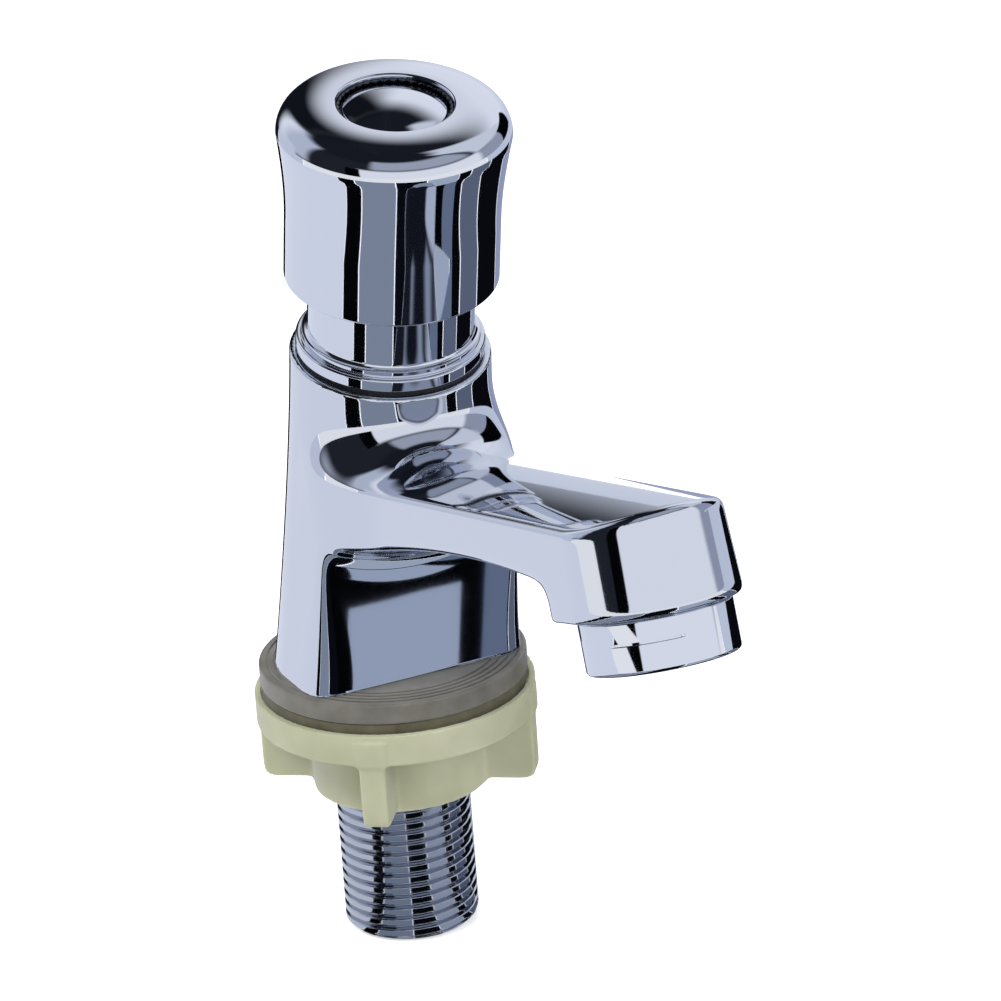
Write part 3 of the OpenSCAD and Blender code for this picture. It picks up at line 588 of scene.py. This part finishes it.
def makeInsert():
    # A domed button. Its last rings close in on the pole, so that the dome looks whole
    size = insertSize
    radius, foot, stemTop = size["radius"], recessFloor + size["foot"], recessFloor + size["stemTop"]
    edge = recessFloor + size["edge"]
    curve = (radius ** 2 + size["dome"] ** 2) / (2 * size["dome"])
    centre = edge + size["dome"] - curve
    nearPole, pole = size["poleAngles"]
    widest = math.asin((radius - size["edgeRound"]) / curve)
    angles = [*np.linspace(widest, nearPole, size["domeSteps"] + 1), pole]
    dome = [(curve * math.sin(a), centre + curve * math.cos(a)) for a in angles]
    corners = [(size["footHole"], foot), (size["stem"], foot, 0.1), (size["stem"], stemTop, 0.1),
               (radius, stemTop, 0.1), (radius, edge + 0.02, 0.35)]
    lathe("capInsert", corners + dome, capAxis)


ringSize = {
    "outer": 8.6, "inner": 6.85, "height": 2.3, "collarInner": 8.15, "collarTop": 3.5,
    "knurls": 40, "knurlDepth": 0.3, "knurlPower": 0.7, "columnsPerKnurl": 10,
}


def makeInsertRing():
    # The knurled collar stands in the narrow gap between the cap and its button
    size = ringSize
    inner, outer, collarInner = size["inner"], size["outer"], size["collarInner"]
    top, collarTop = recessFloor + size["height"], recessFloor + size["collarTop"]
    outline = rounded([(inner, recessFloor, 0.1), (outer, recessFloor, 0.1), (outer, collarTop, 0.1),
                       (collarInner, collarTop, 0.12), (collarInner, top, 0.1), (inner, top, 0.1)])
    angle = roundAngles(size["knurls"] * size["columnsPerKnurl"])
    ridge = np.abs(np.sin(angle * size["knurls"] / 2)) ** size["knurlPower"]
    onCollar = (np.abs(outline[:, 0] - collarInner) < 0.2) & (outline[:, 1] > top - 0.05)
    radii = outline[:, :1] + onCollar[:, None] * (1 - ridge)[None, :] * size["knurlDepth"]
    ringSolid("insertRing", radii, outline[:, 1], capAxis)


print("cap")
makeCap()
makeInsert()
makeInsertRing()


# Bonnet: the smooth neck that the cap slides on, with its stepped flange

bonnetSize = {
    "bore": 9.4, "skirt": 10.9, "skirtFoot": -10.0, "flangeFoot": 0.6, "flangeTop": 2.6, "flange": 14.3,
    "step": 13.45, "stepTop": 3.5, "neck": 12.6, "neckTop": 22.7, "bush": 5.05, "shelf": 18.8,
    "spindle": 3.6, "boreTop": 18.0, "coveSteps": 9,
}


def makeBonnet():
    size = bonnetSize
    cove = size["step"] - size["neck"]
    coveMiddle = (size["neck"] + cove, size["stepTop"] + cove)
    corners = [(size["bore"], size["skirtFoot"], 0.2), (size["skirt"], size["skirtFoot"], 0.3),
               (size["skirt"], size["flangeFoot"], 0.1), (size["flange"], size["flangeFoot"], 0.2),
               (size["flange"], size["flangeTop"], 0.45), (size["step"], size["flangeTop"], 0.12),
               (size["step"], size["stepTop"] + 0.02, 0.2)]
    corners += [(coveMiddle[0] - cove * math.sin(a), coveMiddle[1] - cove * math.cos(a))
                for a in np.linspace(0, math.pi / 2, size["coveSteps"] + 1)[1:]]
    corners += [(size["neck"], size["neckTop"], 0.5), (size["bush"], size["neckTop"], 0.2),
                (size["bush"], size["shelf"], 0.1), (size["spindle"], size["shelf"], 0.1),
                (size["spindle"], size["boreTop"], 0.1), (size["bore"], size["boreTop"], 0.2)]
    lathe("bonnetCollar", corners, capAxis)


print("bonnet")
makeBonnet()


# Nozzle: a collar under the spout's round end, with a thin tool slot in each side

nozzleSize = {
    "radius": 11.0, "mouth": 8.2, "lip": 1.2, "bore": 9.0, "collarTop": 7.6, "neck": 10.0,
    "neckTop": 14.1, "slotLow": 4.2, "slotHigh": 4.6, "slotEdge": 0.04, "slotDepth": 0.5,
    "slotHalfAngle": 28.0, "slotAngle": -35.0, "columns": 240,
}


def makeNozzle():
    size = nozzleSize
    radius, neck, bore, mouth = size["radius"], size["neck"], size["bore"], size["mouth"]
    slot = [(radius, height + edge) for height in (size["slotLow"], size["slotHigh"])
            for edge in (-size["slotEdge"], 0, size["slotEdge"])]
    outline = rounded([(mouth, 0, 0.2), (radius, 0, 0.6), *slot, (radius, size["collarTop"], 0.35),
                       (neck, size["collarTop"], 0.1), (neck, size["neckTop"], 0.2),
                       (bore, size["neckTop"], 0.1), (bore, size["lip"], 0.1), (mouth, size["lip"], 0.2)])
    angle = np.degrees(roundAngles(size["columns"]))
    cut = np.zeros(size["columns"], bool)
    for middle in (size["slotAngle"], size["slotAngle"] + 180):
        cut |= np.abs((angle - middle + 180) % 360 - 180) < size["slotHalfAngle"]
    inSlot = (outline[:, 1] > size["slotLow"] - 0.01) & (outline[:, 1] < size["slotHigh"] + 0.01)
    inSlot &= outline[:, 0] > radius - 0.01
    radii = outline[:, :1] - inSlot[:, None] * cut[None, :] * size["slotDepth"]
    ringSolid("nozzle", radii, outline[:, 1], nozzleAxis)


print("nozzle")
makeNozzle()


# Shank: a half inch pipe thread cut as one right-handed helix

shankSize = {
    "radius": 10.4775, "pitch": 1.814, "depth": 0.75, "crest": 0.9, "flank": 0.4, "runout": 2.0,
    "length": 41.5, "bore": 6.5, "chamfer": 0.9, "bodyFoot": 3.3, "spigot": 8.6, "spigotTop": 10.3,
    "rowStep": 0.1, "columns": 160, "quickColumns": 96,
}


def threadRadius(angle, height):
    size = shankSize
    turn = (height - size["pitch"] * angle / (2 * math.pi)) / size["pitch"]
    fromCrest = np.abs(turn - np.round(turn)) * size["pitch"]
    fall = ease(fromCrest, size["crest"] / 2, size["crest"] / 2 + size["flank"])
    shallow = np.clip((height + size["runout"]) / size["runout"], 0, 1)
    radius = size["radius"] - size["depth"] * fall * (1 - shallow)
    return np.minimum(radius, size["radius"] - size["chamfer"] + height + size["length"])


def makeShank():
    size = shankSize
    radius, spigot, bore, foot = size["radius"], size["spigot"], size["bore"], -size["length"]
    angle = roundAngles(size["columns"])
    heights = np.arange(foot, 0, size["rowStep"])
    thread = [threadRadius(angle, height) for height in heights]
    # Over the thread and down the bore, from a first corner that only gives the direction
    plain = rounded([(radius, -size["rowStep"]), (radius, size["bodyFoot"], 0.1),
                     (spigot, size["bodyFoot"], 0.1), (spigot, size["spigotTop"], 0.3),
                     (bore, size["spigotTop"], 0.3), (bore, foot, 0.4)])[1:]
    radii = np.array(thread + [np.full(len(angle), across) for across in plain[:, 0]])
    ringSolid("shank", radii, [*heights, *plain[:, 1]], shankAxis)


print("shank")
makeShank()


# Gasket, clamp washer and the moulded wing nut

gasketSize = {
    "radius": 20.8, "bore": 10.8, "height": 3.3, "grooves": 4, "grooveStep": 1.1, "grooveWidth": 0.45,
    "grooveDepth": 0.3,
}


def makeGasket():
    size = gasketSize
    top, grooveFoot = size["height"], size["height"] - size["grooveDepth"]
    corners = [(size["bore"], 0, 0.2), (size["radius"], 0, 0.35), (size["radius"], top, 0.4)]
    for i in range(1, size["grooves"] + 1):
        outer = size["radius"] - i * size["grooveStep"]
        inner = outer - size["grooveWidth"]
        corners += [(outer, top, 0.1), (outer, grooveFoot, 0.1),
                    (inner, grooveFoot, 0.1), (inner, top, 0.1)]
    corners += [(size["bore"], top, 0.2)]
    return lathe("gasket", corners, shankAxis)


washerSize = {"radius": 20.5, "bore": 10.8, "height": 2.4}


def makeWasher():
    bore, radius, foot = washerSize["bore"], washerSize["radius"], -washerSize["height"]
    corners = [(bore, foot, 0.15), (radius, foot, 0.3), (radius, 0, 0.3), (bore, 0, 0.15)]
    return lathe("clampWasher", corners, shankAxis)


nutSize = {
    "top": -2.4, "flange": 21.8, "flangeFoot": 4.2, "lip": 0.9, "lipInner": 20.8, "hub": 13.7,
    "height": 15.6, "bore": 10.55, "wings": 4, "wingAngle": -35.0, "wingThick": 4.0, "wingStep": 0.7,
    "wingInset": 0.2, "corner": 3.0, "edge": 0.8, "root": 1.6, "boreRound": 0.5, "footRound": 0.4,
    "meshStep": 0.4, "quickStep": 0.8,
}


def wingPairField(x, y, down, turn):
    # Two wings that face each other, as one blade across the nut
    size = nutSize
    out = np.abs(x * math.cos(turn) + y * math.sin(turn)) - size["flange"] + size["wingInset"]
    across = np.abs(y * math.cos(turn) - x * math.sin(turn)) - size["wingThick"] / 2
    blade = smoothMax(out, down - size["height"] + size["wingStep"], size["corner"])
    return smoothMax(blade, across, size["edge"])


def nutField(x, y, z):
    size = nutSize
    down = size["top"] - z
    away = np.hypot(x, y)
    halfFlange = size["flangeFoot"] / 2
    flange = smoothMax(away - size["flange"], np.abs(down - halfFlange) - halfFlange, size["edge"])
    lip = np.maximum(np.maximum(away - size["flange"], size["lipInner"] - away),
                     np.abs(down) - size["lip"])
    hub = smoothMax(away - size["hub"], down - size["height"], size["edge"])
    turns = [math.radians(size["wingAngle"] + i * 360 / size["wings"])
             for i in range(size["wings"] // 2)]
    wings = reduce(np.minimum, (wingPairField(x, y, down, turn) for turn in turns))
    solid = smoothMin(smoothMin(flange, wings, size["root"]), hub, size["root"])
    solid = np.minimum(smoothMax(solid, -down, size["edge"] / 2), lip)
    solid = smoothMax(solid, size["bore"] - away, size["boreRound"])
    return smoothMax(solid, down - size["height"], size["footRound"])


print("fixings")
for fixing in (makeGasket(), makeWasher(), fieldPiece("wingNut", nutField, nutSize)):
    # As in the photograph, the flat front of the body mirrors the cards and not these
    fixing.visible_glossy = False


# The parts held inside keep their CAD shapes and get their own materials

innerFinishes = {
    "blackRubber": ["bonnet_seal", "seat_seal", "spindle_seal", "piston_seal", "valve_disc",
                    "nozzle_seal"],
    "brass": ["cartridge_sleeve", "valve_seat", "disc_screw", "filter_ring"],
    "steel": ["spindle", "metering_pin", "circlip", "cap_screw", "aerator_screen"],
    "acetal": ["piston", "guide_bush", "cap_guide_ring", "aerator_cartridge", "inlet_filter"],
}

print("inner parts")
for finishName, nodeNames in innerFinishes.items():
    for nodeName in nodeNames:
        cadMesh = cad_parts[nodeName].data
        cadMesh.materials.clear()
        cadMesh.materials.append(finish[finishName])


# Return spring: a wire coil under the piston

springSize = {
    "foot": -9.95, "length": 14.6, "radius": 5.5, "wire": 1.2, "turns": 4, "travel": 8.0,
    "ringsPerTurn": 48, "sides": 12,
}


def makeSpring():
    size = springSize
    rings, sides, wire = size["turns"] * size["ringsPerTurn"], size["sides"], size["wire"] / 2
    along = np.arange(rings + 1)[:, None] / rings
    turn = 2 * math.pi * size["turns"] * along
    around = -roundAngles(sides)[None, :]
    out, up = np.cos(around), np.sin(around)
    reach = size["radius"] + wire * out
    height = size["foot"] + wire + (size["length"] - size["wire"]) * along + wire * up
    coil = placed(capAxis, np.stack([reach * np.cos(turn), reach * np.sin(turn), height], axis=-1))
    facing = np.broadcast_arrays(out * np.cos(turn), out * np.sin(turn), up)
    normals = turned(capAxis, np.stack(facing, axis=-1))
    fan = np.array([(0, i, i + 1, i + 2) for i in range(1, sides - 2, 2)])  # closes the wire's two ends
    faces = np.concatenate([gridFaces(rings + 1, sides, False), fan[:, ::-1], fan + rings * sides])
    spring = makePiece("returnSpring", coil, faces, normals)
    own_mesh(spring)


print("spring")
makeSpring()


# Camera at the photograph's viewing angle: azimuth, height above the horizon and roll in degrees

cameraSetup = {
    "azimuth": 66.0, "elevation": 21.5, "roll": 4.0, "distance": 0.9, "aim": (-0.001, 0.0205, 0.0234),
    "lens": 208.77, "sensor": 36.0, "clip": (0.05, 50.0),
}


def turnFromCamera(degrees):
    # An angle round the tap, counted from the camera, as the angle from X in radians
    return math.radians(cameraSetup["azimuth"] - 90 + degrees)


def makeCamera():
    setup = cameraSetup
    azimuth, elevation, roll = (math.radians(setup[k]) for k in ("azimuth", "elevation", "roll"))
    back = Vector((math.sin(azimuth) * math.cos(elevation), -math.cos(azimuth) * math.cos(elevation),
                   math.sin(elevation)))
    right = Vector((math.cos(azimuth), math.sin(azimuth), 0))
    up = back.cross(right)
    rolledRight = right * math.cos(roll) - up * math.sin(roll)
    rolledUp = right * math.sin(roll) + up * math.cos(roll)
    data = bpy.data.cameras.new("camera")
    data.lens, data.sensor_width = setup["lens"], setup["sensor"]
    data.clip_start, data.clip_end = setup["clip"]
    camera = bpy.data.objects.new("camera", data)
    bpy.context.scene.collection.objects.link(camera)
    turn = Matrix((rolledRight, rolledUp, back)).transposed()
    place = Vector(setup["aim"]) + back * setup["distance"]
    camera.matrix_world = Matrix.Translation(place) @ turn.to_4x4()
    bpy.context.scene.camera = camera


print("camera")
makeCamera()


# Studio: a pale floor, a room of soft panels, and cards that lie round the tap for the chrome to mirror.
# Its own sizes are in metres

studio = {
    "floorRadius": 5.0, "floorSides": 64, "floorGap": 0.0002, "floorColour": "#f4f4f6", "floorGlow": 0.5,
    "worldGlow": 0.3, "domeRadius": 5.0, "domeSegments": (64, 32), "roomColour": "#23262d",
    "nearRing": (0.002, 0.5), "farRing": (0.5, 4.98), "cardStep": 2.0, "cardRise": 0.0002,
}

# Each wedge of card: its ring of the floor, where it starts and ends in degrees from the camera, and
# its colour
floorCards = [
    ("cardEdgeLeft", "nearRing", -180, -156, "#050608"),
    ("cardWideLeft", "nearRing", -155, -55, "#e8ecf7"),
    ("cardDarkLeft", "nearRing", -54.5, -38, "#050608"),
    ("cardGrey", "nearRing", -37, 0, "#8a93a4"),
    ("cardDarkFront", "nearRing", 1, 29, "#0b0e14"),
    ("cardLightRight", "nearRing", 30, 61, "#aeb8c9"),
    ("cardDarkRight", "nearRing", 61.5, 75, "#08090c"),
    ("cardGreyRight", "nearRing", 76, 101, "#636c80"),
    ("cardDarkBack", "nearRing", 102, 141, "#0b0d12"),
    ("cardVioletBack", "nearRing", 142, 170, "#9aa2bf"),
    ("cardFarFront", "farRing", -94, 94, "#ffffff"),
    ("cardFarBack", "farRing", 95, 189, "#d2d9e8"),
    ("cardFarDark", "farRing", 189.5, 216, "#15181e"),
    ("cardFarLeft", "farRing", 217, 265, "#d2d9e8"),
]

# Flat sheets in front of the body's flat face, which it mirrors: corners in millimetres, colour and rise
frontSheets = [
    ("sheetDark", [(56, -8), (130, 8), (130, 71), (56, 33)], "#040507", 0.4),
    ("sheetGrey", [(56, 33), (130, 71), (130, 110), (56, 64)], "#6c7890", 0.4),
    ("sheetPale", [(58, 9), (86, 23), (86, 44), (58, 30)], "#a9b4c8", 0.6),
]

# Each panel of the room, in degrees from the camera and above the horizon: its middle, its width, its
# height and its softness, and then its colour. A later panel hangs in front of an earlier one
roomPanels = [
    ("overhead", 0, 90, 360, 76, 18, "#1b1e25"),
    ("leftSky", -116, 28, 56, 52, 12, "#c3cadb"),
    ("backWall", 180, 4, 150, 20, 6, "#d2d9e8"),
    ("backWindow", 172, 28, 120, 40, 24, "#f2f5fd"),
    ("darkCorner", -162, 22, 32, 76, 16, "#14171c"),
    ("rightBox", 112, 48, 50, 44, 8, "#dadfeb"),
    ("frontHigh", 30, 46, 100, 32, 10, "#a9b0be"),
    ("frontSide", 98, 8, 60, 36, 10, "#9fa6b8"),
    ("frontWindow", 28, 8, 122, 36, 8, "#f4f6fc"),
    ("flagLeft", -38, 8, 14, 36, 2, "#050608"),
    ("flagRight", 136, 8, 24, 36, 2, "#050608"),
]


def emptyMaterial(name):
    material = bpy.data.materials.new(name)
    material.use_nodes = True
    material.node_tree.nodes.clear()
    return material, material.node_tree


def cardMaterial(name, colour):
    # A card's own even light, which lights nothing and is only found by reflections
    material, tree = emptyMaterial(name)
    material.cycles.emission_sampling = "NONE"
    glow = addNode(tree, "ShaderNodeEmission", {"Color": linear(colour)})
    addNode(tree, "ShaderNodeOutputMaterial", None, {"Surface": glow})
    return material, tree, glow


def backgroundRays(tree):
    # 1 for the rays that should see a white background: camera, glossy and transmission rays
    path = addNode(tree, "ShaderNodeLightPath")
    either = addNode(tree, "ShaderNodeMath", {"operation": "MAXIMUM"},
                     {0: path.outputs["Is Camera Ray"], 1: path.outputs["Is Glossy Ray"]})
    return addNode(tree, "ShaderNodeMath", {"operation": "MAXIMUM"},
                   {0: either, 1: path.outputs["Is Transmission Ray"]})


def makeFloor():
    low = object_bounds()[0].z - studio["floorGap"]
    radius, sides = studio["floorRadius"], studio["floorSides"]
    mesh = bpy.data.meshes.new("floor")
    mesh.from_pydata([(radius * math.cos(a), radius * math.sin(a), low) for a in roundAngles(sides)],
                     [], [list(range(sides))])
    floor = bpy.data.objects.new("floor", mesh)
    bpy.context.scene.collection.objects.link(floor)
    material, tree = emptyMaterial("paleFloor")
    matt = addNode(tree, "ShaderNodeBsdfDiffuse", {"Color": linear(studio["floorColour"])})
    strength = addNode(tree, "ShaderNodeMath", {"operation": "MULTIPLY", 1: studio["floorGlow"]},
                       {0: backgroundRays(tree)})
    glow = addNode(tree, "ShaderNodeEmission", {"Color": linear("#ffffff")}, {"Strength": strength})
    both = addNode(tree, "ShaderNodeAddShader", None, {0: matt, 1: glow})
    addNode(tree, "ShaderNodeOutputMaterial", None, {"Surface": both})
    mesh.materials.append(material)
    floor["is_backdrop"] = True
    return low


def onlyMirrored(card):
    # Puts a card in the studio so that only the chrome sees it
    bpy.context.scene.collection.objects.link(card)
    card.visible_camera = card.visible_diffuse = card.visible_shadow = card.visible_transmission = False
    card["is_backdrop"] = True


def makeCard(name, points, faces, colour, height):
    mesh = bpy.data.meshes.new(name)
    mesh.from_pydata([(x, y, height) for x, y in points], [], faces)
    mesh.materials.append(cardMaterial(name, colour)[0])
    onlyMirrored(bpy.data.objects.new(name, mesh))


def makeWedge(name, ring, start, end, colour, height):
    near, far = studio[ring]
    steps = max(2, math.ceil((end - start) / studio["cardStep"]))
    points = []
    for i in range(steps + 1):
        a = turnFromCamera(between(start, end, i / steps))
        points += [(near * math.cos(a), near * math.sin(a)), (far * math.cos(a), far * math.sin(a))]
    faces = [(2 * i, 2 * i + 1, 2 * i + 3, 2 * i + 2) for i in range(steps)]
    makeCard(name, points, faces, colour, height)


def makeWorld():
    world = bpy.data.worlds.new("paleRoom")
    bpy.context.scene.world = world
    world.use_nodes = True
    tree = world.node_tree
    tree.nodes.clear()
    strength = addNode(tree, "ShaderNodeMath", {"operation": "MAXIMUM", 1: studio["worldGlow"]},
                       {0: backgroundRays(tree)})
    white = addNode(tree, "ShaderNodeBackground", {"Color": linear("#ffffff")}, {"Strength": strength})
    addNode(tree, "ShaderNodeOutputWorld", None, {"Surface": white})


def drawPanel(tree, azimuth, elevation, behind, panel):
    # One panel over what hangs behind it: full inside its size, with a soft change at its edges
    name, middle, lift, width, height, softness, colour = panel
    masks = []
    for direction, centre, extent in ((azimuth, middle, width), (elevation, lift, height)):
        offset = addNode(tree, "ShaderNodeMath", {"operation": "SUBTRACT", 1: math.radians(centre)},
                         {0: direction})
        wrapped = addNode(tree, "ShaderNodeMath", {"operation": "WRAP", 1: math.pi, 2: -math.pi},
                          {0: offset})
        away = addNode(tree, "ShaderNodeMath", {"operation": "ABSOLUTE"}, {0: wrapped})
        inner, outer = math.radians(extent - softness) / 2, math.radians(extent + softness) / 2
        masks.append(addNode(tree, "ShaderNodeMapRange", {
            "interpolation_type": "SMOOTHSTEP", "From Min": inner, "From Max": outer,
            "To Min": 1.0, "To Max": 0.0}, {"Value": away}))
    mask = addNode(tree, "ShaderNodeMath", {"operation": "MULTIPLY"}, {0: masks[0], 1: masks[1]})
    mixed = addNode(tree, "ShaderNodeMix", {"data_type": "RGBA", "label": name, 7: linear(colour)},
                    {0: mask, 6: behind})
    return mixed.outputs[2]


def makeRoom():
    # A dome round the studio that only the chrome sees, with the panels drawn on it by direction
    material, tree, glow = cardMaterial("roomPanels", studio["roomColour"])
    place = addNode(tree, "ShaderNodeNewGeometry").outputs["Position"]
    direction = addNode(tree, "ShaderNodeVectorMath", {"operation": "NORMALIZE"}, {0: place})
    parts = addNode(tree, "ShaderNodeSeparateXYZ", None, {0: direction}).outputs
    turn = addNode(tree, "ShaderNodeMath", {"operation": "ARCTAN2"}, {0: parts["Y"], 1: parts["X"]})
    azimuth = addNode(tree, "ShaderNodeMath", {"operation": "SUBTRACT", 1: turnFromCamera(0)}, {0: turn})
    elevation = addNode(tree, "ShaderNodeMath", {"operation": "ARCSINE"}, {0: parts["Z"]})
    colour = addNode(tree, "ShaderNodeRGB").outputs[0]
    colour.default_value = linear(studio["roomColour"])
    for panel in roomPanels:
        colour = drawPanel(tree, azimuth, elevation, colour, panel)
    tree.links.new(colour, glow.inputs["Color"])
    mesh = bpy.data.meshes.new("roomDome")
    shape = bmesh.new()
    around, upward = studio["domeSegments"]
    bmesh.ops.create_uvsphere(shape, u_segments=around, v_segments=upward, radius=studio["domeRadius"])
    shape.to_mesh(mesh)
    shape.free()
    mesh.materials.append(material)
    onlyMirrored(bpy.data.objects.new("roomDome", mesh))


# Soft lamps light the matt parts. The chrome sees the panels and cards, and not the lamps
lamps = {
    "keyLamp": {"azimuth": -50, "elevation": 55, "distance": 1.6, "size": 0.9, "power": 17.0},
    "fillLamp": {"azimuth": 60, "elevation": 30, "distance": 1.7, "size": 1.0, "power": 9.0},
    "backLamp": {"azimuth": 170, "elevation": 50, "distance": 1.6, "size": 0.9, "power": 8.0},
}


def makeLamp(name, setup):
    azimuth, elevation = turnFromCamera(setup["azimuth"]), math.radians(setup["elevation"])
    place = Vector((math.cos(azimuth) * math.cos(elevation), math.sin(azimuth) * math.cos(elevation),
                    math.sin(elevation))) * setup["distance"]
    data = bpy.data.lights.new(name, "AREA")
    data.shape, data.size, data.energy = "DISK", setup["size"], setup["power"]
    lamp = bpy.data.objects.new(name, data)
    bpy.context.scene.collection.objects.link(lamp)
    lamp.matrix_world = Matrix.Translation(place) @ place.to_track_quat("Z", "Y").to_matrix().to_4x4()
    lamp.visible_glossy = False


print("studio")
floorHeight = makeFloor()
for card in floorCards:
    makeWedge(*card, floorHeight + studio["cardRise"])
for sheetName, sheetCorners, sheetColour, rise in frontSheets:
    outline = [(x * millimetre, y * millimetre) for x, y in sheetCorners]
    makeCard(sheetName, outline, [(0, 1, 2, 3)], sheetColour, floorHeight + rise * millimetre)
makeWorld()
makeRoom()
for lampName, lampSetup in lamps.items():
    makeLamp(lampName, lampSetup)
bpy.context.scene.view_settings.view_transform = "Standard"
